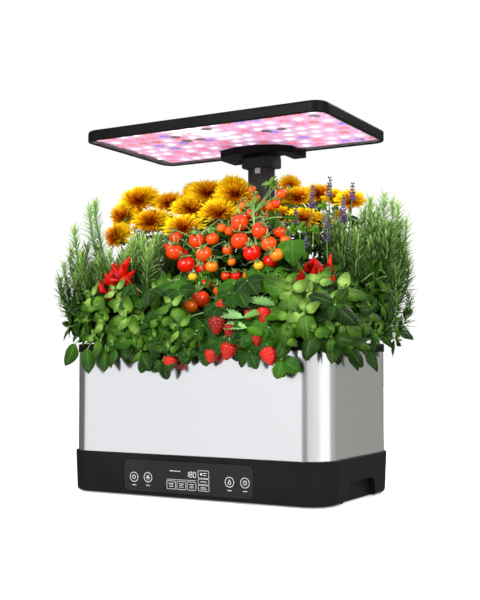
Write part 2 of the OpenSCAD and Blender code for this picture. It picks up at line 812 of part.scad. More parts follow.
// A cap on the top of a tube, which guides the next tube
module guide_cap(w, d, top) {
    in_w = w - 2 * step;
    in_d = d - 2 * step;
    translate([0, post_back, 0]) difference() {
        slab([w + 2 * guide_wall, d + 2 * guide_wall, tube_r + guide_wall], top - guide_over,
            top - guide_over + guide_h);
        slab([w + 0.2, d + 0.2, tube_r + 0.1], top - guide_over - 1, top);
        slab([in_w + 2 * guide_gap, in_d + 2 * guide_gap, tube_r + guide_gap], top - 1,
            top + guide_h);
    }
}

module lower_guide() {
    color("#111112") guide_cap(outer_w, outer_d, outer_top);
}

module middle_tube() {
    color("#19191a") box_tube(middle_w, middle_d, tube_wall, middle_foot, middle_top);
}

module upper_guide() {
    color("#111112") guide_cap(middle_w, middle_d, middle_top);
}

module inner_tube() {
    color("#19191a") difference() {
        box_tube(inner_w, inner_d, tube_wall, inner_foot, collar_foot + collar_tall - tube_seat);
        translate([0, post_back - inner_d / 2 - 1, button_z]) rotate([-90, 0, 0])
            linear_extrude(tube_wall + 2)
                rounded_rect(button_w + 2 * button_slack, button_w + 2 * button_slack, 1);
    }
}

module post_collar() {
    top = collar_foot + collar_tall;
    color("#1b1b1c") translate([0, post_back, 0]) difference() {
        union() {
            ringed_block([collar_wide, collar_deep, 4],
                [[collar_foot + eps, collar_edge], [collar_foot + collar_edge, 0], [top, 0]]);
            span([-collar_wide / 2 + 2, notch_y - post_back + 0.5, top - 1],
                [collar_wide / 2 - 2, collar_deep / 2 - 0.5, top + collar_tenon]);
        }
        slab([inner_w + 2 * fit, inner_d + 2 * fit, tube_r + fit], collar_foot - 1, top - tube_seat);
    }
}

module release_button() {
    front = post_back - inner_d / 2 - button_proud;
    color("#b9b9b4") {
        translate([0, front, button_z]) rotate([-90, 0, 0])
            linear_extrude(button_proud + tube_wall + 0.6) rounded_rect(button_w, button_w, 0.9);
        translate([-button_w / 2 - 1.4, front + button_proud + tube_wall + 0.1,
            button_z - button_w / 2 - 1.4]) cube([button_w + 2.8, 1.2, button_w + 2.8]);
    }
}

// A folded strip that presses the button out from the tube's back wall
module button_spring() {
    front = post_back - inner_d / 2 + tube_wall + 1.5;
    back = post_back + inner_d / 2 - tube_wall - 0.2;
    fold = button_z - spring_long;
    t = 0.6;
    color("silver") translate([-3, 0, 0]) rotate([90, 0, 90]) linear_extrude(6)
        polygon([[front, button_z + 4], [front + t, button_z + 4], [(front + back) / 2, fold + 1],
            [back - t, button_z + 4], [back, button_z + 4], [(front + back) / 2 + t, fold],
            [(front + back) / 2 - t, fold]]);
}

// ---- lamp ----

module lamp_bracket() {
    low = collar_foot + collar_tall;
    wing = lamp_rear - 5;
    color("#1b1b1c") difference() {
        translate([0, 0, low]) linear_extrude(bracket_t) polygon([
            [-bracket_half, wing], [-bracket_half, bracket_front[0]],
            [-shoulder_half, bracket_front[1]], [-nose_half, bracket_front[2]],
            [nose_half, bracket_front[2]], [shoulder_half, bracket_front[1]],
            [bracket_half, bracket_front[0]], [bracket_half, wing], [notch_half, wing],
            [notch_half, notch_y], [-notch_half, notch_y], [-notch_half, wing]
        ]);
        for (x = [-1, 1]) translate([x * lamp_screw_x, lamp_screw_y, low - 1]) {
            cylinder(r = screw_r + 0.2, h = bracket_t + 2);
            cylinder(r = screw_head_r + 0.3, h = bracket_t - 3);
        }
    }
}

module lamp_screws() {
    color("silver") for (x = [-1, 1])
        translate([x * lamp_screw_x, lamp_screw_y, lamp_foot - 4 - screw_head_h]) screw();
}

function lamp_out(i) = [lamp_w - 2 * i, lamp_d - 2 * i, lamp_r - i];

module lamp_housing() {
    color("#161617") difference() {
        union() {
            translate([0, lamp_back, 0]) difference() {
                ringed_block(lamp_out(0), [[lamp_top, 3.2], [lamp_top - 0.8, 1.6], [lamp_top - 2.4, 0.3],
                    [lamp_top - 4, 0], [lamp_foot + 1.4, 0], [lamp_foot + eps, 1]]);
                slab(lamp_out(lamp_wall), lamp_foot - 1, lens_top);
                slab(lamp_out(lamp_wall + board_step), lens_top - 1, board_top);
                slab(lamp_out(lamp_wall + board_step + roof_step), board_top - 1, roof_low);
            }
            span([-bracket_half - 1, lamp_rear - flange_in, lamp_foot],
                [bracket_half + 1, lamp_rear - 2, lamp_foot + flange_up]);
        }
        for (x = [-1, 1])
            translate([x * lamp_screw_x, lamp_screw_y, lamp_foot - 1])
                cylinder(r = screw_r + 0.05, h = flange_up + 2);
        for (k = [-4 : 4])
            translate([k * slot_pitch, slot_front + slot_l / 2, roof_low - 1])
                linear_extrude(roof_t + 2) square([slot_narrow, slot_l], center = true);
    }
}

// The lens is cut away at the back, round the thick part that takes the bracket's screws
module lens_panel() {
    color([1, 1, 1, 0.4]) difference() {
        translate([0, lamp_back, 0]) slab(lamp_out(lamp_wall + fit), lens_top - lens_t, lens_top);
        span([-bracket_half - 1 - fit, lamp_rear - flange_in - fit, lamp_foot],
            [bracket_half + 1 + fit, lamp_rear, lens_top + 1]);
    }
}

module led_board() {
    color("#efe6ee") translate([0, lamp_back, 0])
        slab(lamp_out(lamp_wall + board_step + fit), board_top - led_board_t, board_top);
}

module led_chips() {
    x0 = -(led_cols - 1) / 2 * led_pitch_x;
    y0 = -(led_rows - 1) / 2 * led_pitch_y;
    color("#fff2fb") translate([0, lamp_back, board_top - led_board_t - chip_h])
        linear_extrude(chip_h)
            for (c = [0 : led_cols - 1], r = [0 : led_rows - 1])
                translate([x0 + c * led_pitch_x + (r % 2 - 0.5) * led_stagger, y0 + r * led_pitch_y])
                    square(chip_w, center = true);
}

module lamp_driver() {
    color("DarkGreen") translate([0, post_back, driver_top - driver_t]) {
        linear_extrude(driver_t) square([driver_w, driver_d], center = true);
        translate([0, 0, -cover_t])
            linear_extrude(cover_t + eps) square([cover_w, cover_d], center = true);
    }
}

// ---- pods and plants ----

// Radius of the basket's outer wall at a height
function basket_r(z) = basket_foot_r
    + (pod_r - 0.6 - basket_foot_r) * (z - collar_top + basket_h) / basket_h;

module basket(i, j) {
    foot = collar_top - basket_h;
    floor_t = 1.5;
    color("#141415") translate([pod_x(i), pod_y(j), 0]) difference() {
        union() {
            translate([0, 0, foot]) cylinder(r1 = basket_foot_r, r2 = pod_r - 0.6, h = basket_h);
            translate([0, 0, collar_top]) cylinder(r = flange_r, h = flange_t);
        }
        translate([0, 0, foot + floor_t])
            cylinder(r1 = basket_r(foot + floor_t) - basket_wall, r2 = basket_r(flange_top) - basket_wall,
                h = flange_top - foot - floor_t + eps);
        for (a = [0 : 45 : 135])
            rotate([0, 0, a]) span([-pod_r - 1, -slot_w / 2, foot + 8], [pod_r + 1, slot_w / 2, foot + 42]);
        for (a = [0 : 72 : 288])
            rotate([0, 0, a]) translate([6, 0, foot - 1]) cylinder(r = 2, h = floor_t + 2);
    }
}

module grow_sponges() {
    low = collar_top - basket_h + 1.5;
    color("#4a3626") for (i = COLS, j = RANKS)
        translate([pod_x(i), pod_y(j), 0]) difference() {
            translate([0, 0, low]) cylinder(r1 = basket_r(low) - basket_wall - fit,
                r2 = basket_r(sponge_top) - basket_wall - fit, h = sponge_top - low);
            translate([0, 0, stem_foot]) cylinder(r = plant_stem_r + fit, h = 20);
        }
}

// Space over the deck that the moving pieces and the post need
module clear_space() {
    slab(outline(rim_proud + soft_gap), 0, foliage_low);
    span([-outer_w / 2 - guide_wall - 1, channel_y - guide_wall - 1, 0],
        [outer_w / 2 + guide_wall + 1, body_d, lamp_top]);
    span([-flap_w / 2 - 2, flap_y - 4, 0], [flap_w / 2 + 2, pin_y + 16, pin_z + flap_l + 10]);
    translate([0, float_y, 0]) cylinder(r = 5, h = float_tip + float_rise + 4);
}

// The air beside its own that a plant grows out into, over its neighbour
module lean_out(name, grow = 0) {
    if (name == "rosemary_left")
        span([cell_x(-1), cell_y(-1), over_front], [cell_x(0) - soft_gap / 2, cell_y(0) + 2, plant_top]);
    if (name == "marigold_right")
        span([cell_x(2) - 2, cell_y(1) + soft_gap / 2 - grow, over_back - grow],
            [cell_x(2) + over_reach + grow, cell_y(2), plant_top]);
}

// The part of the air over its pod that one plant may fill
module plant_cell(i, j) {
    g = soft_gap / 2;
    difference() {
        span([cell_x(i - 1) + g, cell_y(j - 1) + g, 0],
            [cell_x(i) - g, cell_y(j) - g, j == 0 ? front_top - g : plant_top]);
        if (PLANTS[j][i] == "rosemary_right") lean_out("marigold_right", soft_gap);
    }
    lean_out(PLANTS[j][i]);
}

// An outline of [height, radius] turned into a solid, its heights counted from a level
module turned(outline, level, sign = 1) {
    n = len(outline) - 1;
    rotate_extrude() polygon([
        [0, level + sign * outline[0][0]],
        for (p = outline) [p[1], level + sign * p[0]],
        [0, level + sign * outline[n][0]]
    ]);
}

module plant(i, j) {
    f = FOLIAGE[j][i];
    color(f[3]) {
        difference() {
            intersection() {
                translate([pod_x(i) + f[1], pod_y(j) + f[2], 0]) {
                    turned(f[0], deck_top);
                    for (c = CROWNS, top = c[2])
                        if (c[0] == PLANTS[j][i])
                            translate([top[0], top[1], 0])
                                turned(c[1], min(deck_top + top[2], plant_top + eps), -1);
                }
                plant_cell(i, j);
            }
            clear_space();
        }
        translate([pod_x(i), pod_y(j), stem_foot])
            cylinder(r = plant_stem_r, h = foliage_low - stem_foot + stem_in);
    }
}

base_housing();
base_plate();
base_screws();
rubber_feet();
control_panel();
control_board();
power_inlet();
steel_sleeve();
water_tank();
top_rim();
grow_deck();
refill_flap();
refill_pin();
float_guide();
water_float();
pump_housing();
pump_cover();
pump_rotor();
pump_shaft();
pump_riser();
outer_post();
lower_guide();
middle_tube();
upper_guide();
inner_tube();
post_collar();
release_button();
button_spring();
lamp_bracket();
lamp_screws();
lamp_housing();
lens_panel();
led_board();
led_chips();
lamp_driver();
grow_sponges();
for (j = RANKS, i = COLS)
    basket(i, j);
for (j = RANKS, i = COLS)
    plant(i, j);
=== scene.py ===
import math

import bpy
import numpy as np
from mathutils import Matrix, Vector


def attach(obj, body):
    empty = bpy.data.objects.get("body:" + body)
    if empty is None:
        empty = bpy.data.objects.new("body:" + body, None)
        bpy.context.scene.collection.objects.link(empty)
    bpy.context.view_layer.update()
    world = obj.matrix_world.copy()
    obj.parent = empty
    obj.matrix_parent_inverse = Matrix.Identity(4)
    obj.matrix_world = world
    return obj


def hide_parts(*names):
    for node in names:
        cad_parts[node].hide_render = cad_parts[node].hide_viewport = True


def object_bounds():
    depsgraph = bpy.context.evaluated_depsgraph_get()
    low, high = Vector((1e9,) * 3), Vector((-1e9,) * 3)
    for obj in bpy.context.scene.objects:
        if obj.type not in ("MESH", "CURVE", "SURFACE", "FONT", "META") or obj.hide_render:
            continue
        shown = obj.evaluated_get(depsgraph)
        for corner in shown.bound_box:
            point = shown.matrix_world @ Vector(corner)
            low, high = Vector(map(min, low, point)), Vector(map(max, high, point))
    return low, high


# The looks of a countertop hydroponic garden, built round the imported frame.
# Plants are made in millimetres, in the frame's own axes, and turned into metres when a mesh is made.
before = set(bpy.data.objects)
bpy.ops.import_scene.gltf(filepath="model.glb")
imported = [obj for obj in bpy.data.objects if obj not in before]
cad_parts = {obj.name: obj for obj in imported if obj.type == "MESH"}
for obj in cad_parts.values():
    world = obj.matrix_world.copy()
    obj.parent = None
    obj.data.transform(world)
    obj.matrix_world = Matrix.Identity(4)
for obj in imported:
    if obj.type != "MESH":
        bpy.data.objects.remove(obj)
cad_low, cad_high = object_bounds()
MM = 0.001
INSET = 0.4                  # how far the plants stay inside the CAD model's box
STEM_INSET = 2.0             # how much further the middle of a stem stays inside it
PLANT_TOP = 455.0            # the lamp comes down to 460
LOW = np.array(cad_low) / MM + INSET
HIGH = np.array(cad_high) / MM - INSET
LEAF_HIGH = np.array([HIGH[0], HIGH[1], PLANT_TOP])
FLAT = np.array([1, 1, 0])
MAP = "OFBake"
SQUARES = 4                  # the map is a grid of squares, one for each tint
SQUARE_RIM = 0.04            # the share of a square that stays free at each of its sides


def vec(x, y, z):
    return np.array([x, y, z])


def link(name, data):
    """A new object in the scene."""
    ob = bpy.data.objects.new(name, data)
    bpy.context.scene.collection.objects.link(ob)
    return ob


# ---- camera ----

EYE = vec(721.28, -1243.56, 177.91)
TURN, PITCH = math.radians(29.56), math.radians(3.45)
AHEAD = vec(-math.sin(TURN) * math.cos(PITCH), math.cos(TURN) * math.cos(PITCH), math.sin(PITCH))
RIGHT = vec(math.cos(TURN), math.sin(TURN), 0.0)
UP = np.cross(RIGHT, AHEAD)
SENSOR, LONG_SIDE, FOCAL = 36.0, 600, 1030.0
CENTRE_X, CENTRE_Y = 240, 300      # the middle of the picture in pixels


def make_camera():
    data = bpy.data.cameras.new("camera")
    data.sensor_width = SENSOR
    data.lens = FOCAL / LONG_SIDE * SENSOR
    data.clip_start, data.clip_end = 0.05, 50
    ob = link("camera", data)
    turn = Matrix(vec(RIGHT, UP, -AHEAD).T.tolist()).to_4x4()
    ob.matrix_world = Matrix.Translation(Vector(EYE * MM)) @ turn
    bpy.context.scene.camera = ob


def at(px, py, depth):
    """The point at that depth (y) that shows at a pixel of the 480 x 600 picture."""
    ray = RIGHT * (px - CENTRE_X) / FOCAL - UP * (py - CENTRE_Y) / FOCAL + AHEAD
    return EYE + (depth - EYE[1]) / ray[1] * ray


# ---- material nodes ----

class Net:
    """The nodes of a new material, or of another owner such as the world, written as sums of sockets and numbers."""

    def __init__(self, name, owner=None):
        self.material = owner or bpy.data.materials.new(name)
        self.material.use_nodes = True
        self.tree = self.material.node_tree
        self.shader = self.tree.nodes.get("Principled BSDF")

    def node(self, kind, **settings):
        made = self.tree.nodes.new("ShaderNode" + kind)
        for key, value in settings.items():
            setattr(made, key, value)
        return made

    def wire(self, socket, value):
        if isinstance(value, bpy.types.NodeSocket):
            self.tree.links.new(value, socket)
        else:
            socket.default_value = value

    def math(self, operation, *values):
        made = self.node("Math", operation=operation)
        for socket, value in zip(made.inputs, values):
            self.wire(socket, value)
        return made.outputs[0]

    def add(self, a, b):
        return self.math("ADD", a, b)

    def sub(self, a, b):
        return self.math("SUBTRACT", a, b)

    def mul(self, a, b):
        return self.math("MULTIPLY", a, b)

    def div(self, a, b):
        return self.math("DIVIDE", a, b)

    def length(self, x, y):
        return self.math("SQRT", self.add(self.mul(x, x), self.mul(y, y)))

    def from_middle(self, value, middle=0.5):
        return self.math("ABSOLUTE", self.sub(value, middle))

    def mix(self, share, a, b, blend="MIX"):
        made = self.node("Mix", data_type="RGBA", blend_type=blend)
        self.wire(made.inputs[0], share)
        for socket, value in ((made.inputs[6], a), (made.inputs[7], b)):
            self.wire(socket, (*value, 1) if isinstance(value, tuple) else value)
        return made.outputs[2]

    def ramp(self, share, stops, interpolation="LINEAR"):
        made = self.node("ValToRGB")
        band = made.color_ramp
        band.interpolation = interpolation
        while len(band.elements) < len(stops):
            band.elements.new(1.0)
        for element, (place, colour) in zip(band.elements, stops):
            element.position = place
            element.color = (*colour, 1)
        self.wire(made.inputs[0], share)
        return made.outputs[0]

    def remap(self, value, a, b, c=0.0, d=1.0, smooth=False):
        made = self.node("MapRange", interpolation_type="SMOOTHSTEP" if smooth else "LINEAR")
        for socket, number in zip(made.inputs, (value, a, b, c, d)):
            self.wire(socket, number)
        return made.outputs[0]

    def place(self, scale=(1, 1, 1)):
        made = self.node("Mapping")
        made.inputs["Scale"].default_value = scale
        self.wire(made.inputs["Vector"], self.node("TexCoord").outputs["Object"])
        return made.outputs[0]

    def noise(self, vector, scale, detail=3.0, rough=0.55):
        made = self.node("TexNoise")
        self.wire(made.inputs["Vector"], vector)
        made.inputs["Scale"].default_value = scale
        made.inputs["Detail"].default_value = detail
        made.inputs["Roughness"].default_value = rough
        return made.outputs[0]

    def split(self, vector):
        made = self.node("SeparateXYZ")
        self.wire(made.inputs[0], vector)
        return made.outputs

    def bump(self, height, distance, strength=1.0):
        made = self.node("Bump")
        made.inputs["Strength"].default_value = strength
        made.inputs["Distance"].default_value = distance
        self.wire(made.inputs["Height"], height)
        self.tree.links.new(made.outputs[0], self.shader.inputs["Normal"])

    def set(self, **values):
        for key, value in values.items():
            self.wire(self.shader.inputs[key.replace("_", " ")], value)
        return self.material


def plastic(name, colour, rough, grain=2600, depth=0.00004, spread=0.14, gloss=0.4):
    """Moulded plastic: a fine grain, a slow drift of tone and uneven gloss."""
    n = Net(name)
    here = n.place()
    slow = n.noise(here, 14, 2)
    fine = n.noise(here, grain, 2)
    dark = tuple(c * (1 - spread) for c in colour)
    pale = tuple(c * (1 + spread) + 0.002 for c in colour)
    n.bump(fine, depth, 0.6)
    return n.set(Base_Color=n.mix(n.remap(slow, 0.3, 0.7), dark, pale),
                 Roughness=n.remap(n.add(slow, n.mul(fine, 0.35)), 0.35, 0.95, rough - 0.05,
                                   rough + 0.07), Specular_IOR_Level=gloss)


def brushed(name, colour, rough, lines=(3, 3, 1500)):
    """Brushed metal: fine lines across the sheet, which break up its gloss."""
    n = Net(name)
    line = n.noise(n.place(lines), 1.0, 4, 0.7)
    cloud = n.noise(n.place(), 5, 2)
    n.bump(line, 0.00001, 0.35)
    dark = tuple(c * 0.965 for c in colour)
    tone = n.add(n.mul(line, 0.7), n.mul(cloud, 0.3))
    return n.set(Base_Color=n.mix(n.remap(tone, 0.3, 0.7), dark, colour), Metallic=1.0,
                 Roughness=n.remap(tone, 0.3, 0.7, rough * 0.85, rough * 1.2))


def squares(n):
    """The number of a face's square, from 0 to 1, and the place in it: across, 0 to 1, and along, 0 to 1."""
    spot = n.node("UVMap", uv_map=MAP).outputs[0]
    u, v, _ = n.split(spot)
    u, v = n.mul(u, SQUARES), n.mul(v, SQUARES)
    column, row = n.math("FLOOR", u), n.math("FLOOR", v)
    number = n.div(n.add(column, n.mul(row, SQUARES)), SQUARES ** 2 - 1)
    return number, n.sub(u, column), n.sub(v, row), spot


def leaf(name, tints, vein, along, rough, veins=8, slant=2.4, vein_share=0.25, relief=0.0004, rim=None, painted_sheen=0.0):
    """A leaf: a tint for each square, a midrib and side veins, and a puckered surface between them. along is a ramp of
    painted shade that darkens the leaf towards its tip. The last argument paints a highlight: how far the full part
    near the base is made paler, on the pale leaves most."""
    n = Net(name)
    number, across, length, spot = squares(n)
    side = n.mul(n.from_middle(across), 2)
    midrib = n.remap(side, 0.0, 0.09, 1, 0, smooth=True)
    beat = n.math("FRACT", n.sub(n.mul(length, veins), n.mul(side, slant)))
    swell = n.mul(n.from_middle(beat), 2)
    line = n.mul(n.remap(swell, 0.78, 1.0, 0, 1, smooth=True), n.remap(side, 0.0, 1.0, 0.8, 0.3))
    lines = n.math("MAXIMUM", midrib, line)
    mottle = n.noise(spot, 60, 3)
    # Painted shade: the along ramp darkens each leaf from its base towards its tip
    body = n.mix(1.0, n.ramp(number, tints), n.ramp(length, along), "MULTIPLY")
    body = n.mix(n.remap(mottle, 0.35, 0.65, 0, 0.3), body, n.mix(1.0, body, (0.6, 0.72, 0.45), "MULTIPLY"))
    if rim:
        body = n.mix(n.remap(side, 0.8, 1.0, 0, 0.7), body, rim)
    # Painted highlight: the full part near the base of the pale leaves is made paler, as if lit from above
    if painted_sheen:
        near = n.remap(n.from_middle(length, 0.3), 0.02, 0.32, 1, 0, smooth=True)
        full = n.mul(near, n.remap(side, 0.2, 0.95, 1, 0))
        body = n.mix(n.mul(full, n.remap(number, 0.3, 0.95, 0, painted_sheen)), body, (0.34, 0.54, 0.13))
    puckers = n.add(n.mul(n.sub(1.0, swell), 0.5), n.mul(mottle, 0.5))
    n.bump(n.sub(puckers, n.mul(lines, 0.8)), relief, 0.8)
    return n.set(Base_Color=n.mix(n.mul(lines, vein_share), body, vein),
                 Roughness=n.remap(mottle, 0.3, 0.7, rough - 0.06, rough + 0.1), Specular_IOR_Level=0.1)


STREAKS = 7                  # over the width of a square


def streaked(name, low_tint, high_tint, rough=0.55, relief=0.0002, shade=0.55, gloss=0.35):
    """Petals, needles, stems and fruit: one band of colour along for the lowest square and one for the highest,
    with the squares between them mixed, and fine streaks along."""
    n = Net(name)
    number, across, length, spot = squares(n)
    streak = n.noise(n.mul(across, STREAKS), 1.0, 2)
    cloud = n.noise(spot, 45, 3)
    body = n.mix(number, n.ramp(length, low_tint), n.ramp(length, high_tint))
    uneven = n.add(n.mul(streak, 0.5), n.mul(cloud, 0.5))
    body = n.mix(n.remap(uneven, 0.35, 0.65, shade, 0), body, n.mix(1.0, body, (0.5, 0.45, 0.4), "MULTIPLY"))
    n.bump(streak, relief, 0.6)
    return n.set(Base_Color=body, Roughness=n.remap(cloud, 0.3, 0.7, rough - 0.05, rough + 0.1),
                 Specular_IOR_Level=gloss)


# ---- small forms, gathered into heaps ----

def unit(v):
    v = np.asarray(v, float)
    return v / max(np.linalg.norm(v), 1e-9)


def grid_faces(rows, cols, wrap=False):
    """Quads of a grid that has rows x cols faces; with wrap the last column joins the first."""
    wide = cols if wrap else cols + 1
    r, c = np.meshgrid(np.arange(rows), np.arange(cols), indexing="ij")
    a = (r * wide + c).ravel()
    b = (r * wide + (c + 1) % wide).ravel()
    return np.stack([a, b, b + wide, a + wide], 1)


NARROWEST = 0.035            # half width of a blade at its two ends


def blade(outline, rows, cols, bend, cup=0.0, fold=0.0, teeth=0, tooth=0.0, pucker=0.0, wave=0.0):
    """A leaf or petal of length and width 1, from its base at the origin along +y, upper side +z. outline gives the
    half width at a share of the length. cup lowers the edges, fold lifts them, bend turns the tip down."""
    t = np.linspace(0, 1, rows + 1)[:, None] * np.ones((1, cols + 1))
    s = np.linspace(-1, 1, cols + 1)[None, :] * np.ones((rows + 1, 1))
    edge = np.abs(s) ** 4
    x = s * np.maximum(outline(t), NARROWEST) * (1 - edge * tooth * ((t * teeth) % 1.0)) * 0.5
    lift = fold * np.abs(x) - cup * (2 * x) ** 2
    lift = lift + pucker * np.sin(np.pi * 6 * t - 2 * np.abs(s)) * (1 - np.abs(s)) * np.abs(s) * 2
    lift = lift + wave * np.sin(np.pi * 5 * t + s) * edge
    turn = bend * t
    y, z = np.sin(turn) / bend, -(1 - np.cos(turn)) / bend
    form = np.stack([x, y + lift * np.sin(turn), z + lift * np.cos(turn)], 2).reshape(-1, 3)
    spots = np.stack([s * 0.5 + 0.5, t], 2).reshape(-1, 2)
    return form, grid_faces(rows, cols), np.zeros((0, 3), int), spots


def oval(early, full):
    """The outline of a plain leaf: how near the base it is widest, and how full it is."""
    return lambda t: np.sin(np.pi * t ** early) ** full


def ring_angles(sides):
    return np.linspace(0, 2 * np.pi, sides, endpoint=False)


def closed(body, poles, along, sides):
    """A closed form from rings of points and a pole at each end. along is each ring's place along its square."""
    rows, n, i = len(along) - 1, len(body), np.arange(sides)
    ends = np.vstack([np.stack([i * 0 + n, (i + 1) % sides, i], 1),
                      np.stack([i * 0 + n + 1, rows * sides + i, rows * sides + (i + 1) % sides], 1)])
    across = 1 - np.abs(ring_angles(sides) / np.pi - 1)
    spots = np.stack(np.broadcast_arrays(across, along[:, None]), 2).reshape(-1, 2)
    return (np.vstack([body, poles]), grid_faces(rows, sides, wrap=True), ends,
            np.vstack([spots, [[0.5, 0], [0.5, 1]]]))


PROFILE_STEPS = 3            # points of the curve for each point of a profile


def smooth_profile(points):
    """Points of a turned form with a Catmull-Rom curve run through them."""
    p = np.asarray(points, float)
    q = np.vstack([2 * p[0] - p[1], p, 2 * p[-1] - p[-2]])
    out = []
    for i in range(1, len(q) - 2):
        for t in np.linspace(0, 1, PROFILE_STEPS, endpoint=False):
            out.append(0.5 * (2 * q[i] + (q[i + 1] - q[i - 1]) * t
                              + (2 * q[i - 1] - 5 * q[i] + 4 * q[i + 1] - q[i + 2]) * t ** 2
                              + (3 * q[i] - q[i - 1] - 3 * q[i + 1] + q[i + 2]) * t ** 3))
    out = np.array(out + [p[-1]])
    out[:, 0] = np.maximum(out[:, 0], 0.02)
    out[[0, -1], 0] = 0
    return out


def turned(points, sides):
    """A closed form turned about +y, from a curve through [radius, height] points that starts and ends at a pole."""
    profile = smooth_profile(points)
    rings, a = profile[1:-1], ring_angles(sides)
    body = np.stack([rings[:, :1] * np.cos(a), rings[:, 1:] + 0 * a, rings[:, :1] * -np.sin(a)], 2).reshape(-1, 3)
    return closed(body, [[0, profile[0, 1], 0], [0, profile[-1, 1], 0]], np.linspace(0, 1, len(profile))[1:-1], sides)


def axes(along, up):
    y = unit(along)
    x = np.cross(y, up)
    if np.linalg.norm(x) < 1e-4:
        x = np.cross(y, [0.3, 1, 0.2])
    x = unit(x)
    return x, y, np.cross(x, y)


# Spaces that the plants keep out of
POST_HALF, POST_FRONT = 25, 75
FLAP_HALF, FLAP_Y, FLAP_Z, FLAP_SWEEP, FLAP_BACK = 22, -15, 204, 37, -11
STEM_Y, STEM_REACH, STEM_TOP = 30.5, 5, 236
BODY_X, BODY_Y, BODY_TOP = 196.8, 112.3, 204.4


def blocked(p):
    """Whether any point lies in the space of the post, the flap's sweep, the float's stem or the body."""
    x, y, z = p.T
    post = (np.abs(x) < POST_HALF) & (y > POST_FRONT)
    flap = (np.abs(x) < FLAP_HALF) & (np.hypot(y - FLAP_Y, z - FLAP_Z) < FLAP_SWEEP) & (y < FLAP_BACK)
    stem = (np.hypot(x, y - STEM_Y) < STEM_REACH) & (z < STEM_TOP)
    body = (np.abs(x) < BODY_X) & (np.abs(y) < BODY_Y) & (z < BODY_TOP)
    return bool((post | flap | stem | body).any())


def add_piece(name, mesh, material, replaces=()):
    """Puts a mesh into the scene as a piece that rides on the base."""
    mesh.validate()
    mesh.materials.append(material)
    ob = link(name, mesh)
    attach(ob, "base")
    if replaces:
        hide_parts(*replaces)


STEM_CAP = 0.4               # how far a stem's rounded end stands out, as a share of its radius


class Heap:
    """Many small forms, gathered into one mesh."""

    def __init__(self):
        self.points, self.quads, self.ends, self.spots, self.count = [], [], [], [], 0

    def add(self, points, quads, ends, spots, square):
        spots = SQUARE_RIM + (1 - 2 * SQUARE_RIM) * spots
        shift = np.array([square % SQUARES, square // SQUARES])
        self.points.append(points)
        self.quads.append(quads + self.count)
        self.ends.append(ends + self.count)
        self.spots.append((spots + shift) / SQUARES)
        self.count += len(points)

    def put(self, form, where, along, up, length, width, square, test=True, thick=None):
        """Puts a form with its base at a point, in the tint of a square. It is moved inside the model's box, and left
        out where it is blocked."""
        points, quads, ends, spots = form
        x, y, z = axes(along, up)
        p = where + np.outer(points[:, 0] * width, x) + np.outer(points[:, 1] * length, y) \
            + np.outer(points[:, 2] * (thick or length), z)
        p = p - np.maximum(p.max(0) - LEAF_HIGH, 0) + np.maximum(LOW - p.min(0), 0)
        if test and blocked(p):
            return False
        self.add(p, quads, ends, spots, int(np.clip(round(square), 0, SQUARES ** 2 - 1)))
        return True

    def tube(self, path, radii, square, sides=5):
        """A round stem along a path, closed at both ends. radii is the first and the last, or one for each point."""
        path = np.clip(np.asarray(path, float), LOW + STEM_INSET, HIGH - STEM_INSET)
        radii = np.linspace(*radii, len(path)) if len(radii) == 2 else radii
        ahead = np.gradient(path, axis=0)
        side = unit(np.cross(ahead[0], [0.31, 0.2, 0.93]))
        a = ring_angles(sides)
        rings = []
        for p, d, r in zip(path, ahead, radii):
            d = unit(d)
            side = unit(side - d * (side @ d))
            rings.append(p + r * (np.outer(np.cos(a), side) + np.outer(np.sin(a), np.cross(d, side))))
        poles = (path[0] - unit(ahead[0]) * radii[0] * STEM_CAP, path[-1] + unit(ahead[-1]) * radii[-1] * STEM_CAP)
        self.add(*closed(np.vstack(rings), poles, np.linspace(0, 1, len(path)), sides), square)

    def make(self, name, material, slot, replaces=()):
        points = np.vstack(self.points) * MM
        quads, ends, spots = np.vstack(self.quads), np.vstack(self.ends), np.vstack(self.spots)
        corners = np.concatenate([quads.ravel(), ends.ravel()])
        starts = np.concatenate([np.arange(len(quads)) * 4, len(quads) * 4 + np.arange(len(ends)) * 3])
        mesh = bpy.data.meshes.new(name)
        mesh.vertices.add(len(points))
        mesh.vertices.foreach_set("co", points.astype(np.float32).ravel())
        mesh.loops.add(len(corners))
        mesh.loops.foreach_set("vertex_index", corners.astype(np.int32))
        mesh.polygons.add(len(starts))
        mesh.polygons.foreach_set("loop_start", starts.astype(np.int32))
        mesh.update(calc_edges=True)
        layer = mesh.uv_layers.new(name=MAP)
        layer.uv.foreach_set("vector", spots[corners].astype(np.float32).ravel())
        mesh.polygons.foreach_set("use_smooth", np.full(len(starts), True))
        add_piece(name, mesh, material, replaces)


def curve(*points, steps=9):
    """A Bezier curve through the first and last of three or four points."""
    p = np.array(points, float)
    t = np.linspace(0, 1, steps)[:, None]
    if len(p) == 3:
        return (1 - t) ** 2 * p[0] + 2 * t * (1 - t) * p[1] + t ** 2 * p[2]
    return (1 - t) ** 3 * p[0] + 3 * t * (1 - t) ** 2 * p[1] + 3 * t ** 2 * (1 - t) * p[2] + t ** 3 * p[3]


def about(axis, angle):
    """A unit vector square to an axis, at an angle round it."""
    x, _, z = axes(axis, (0.12, 0.31, 0.94))
    return x * math.cos(angle) + z * math.sin(angle)


# ---- leaf, petal and fruit forms ----

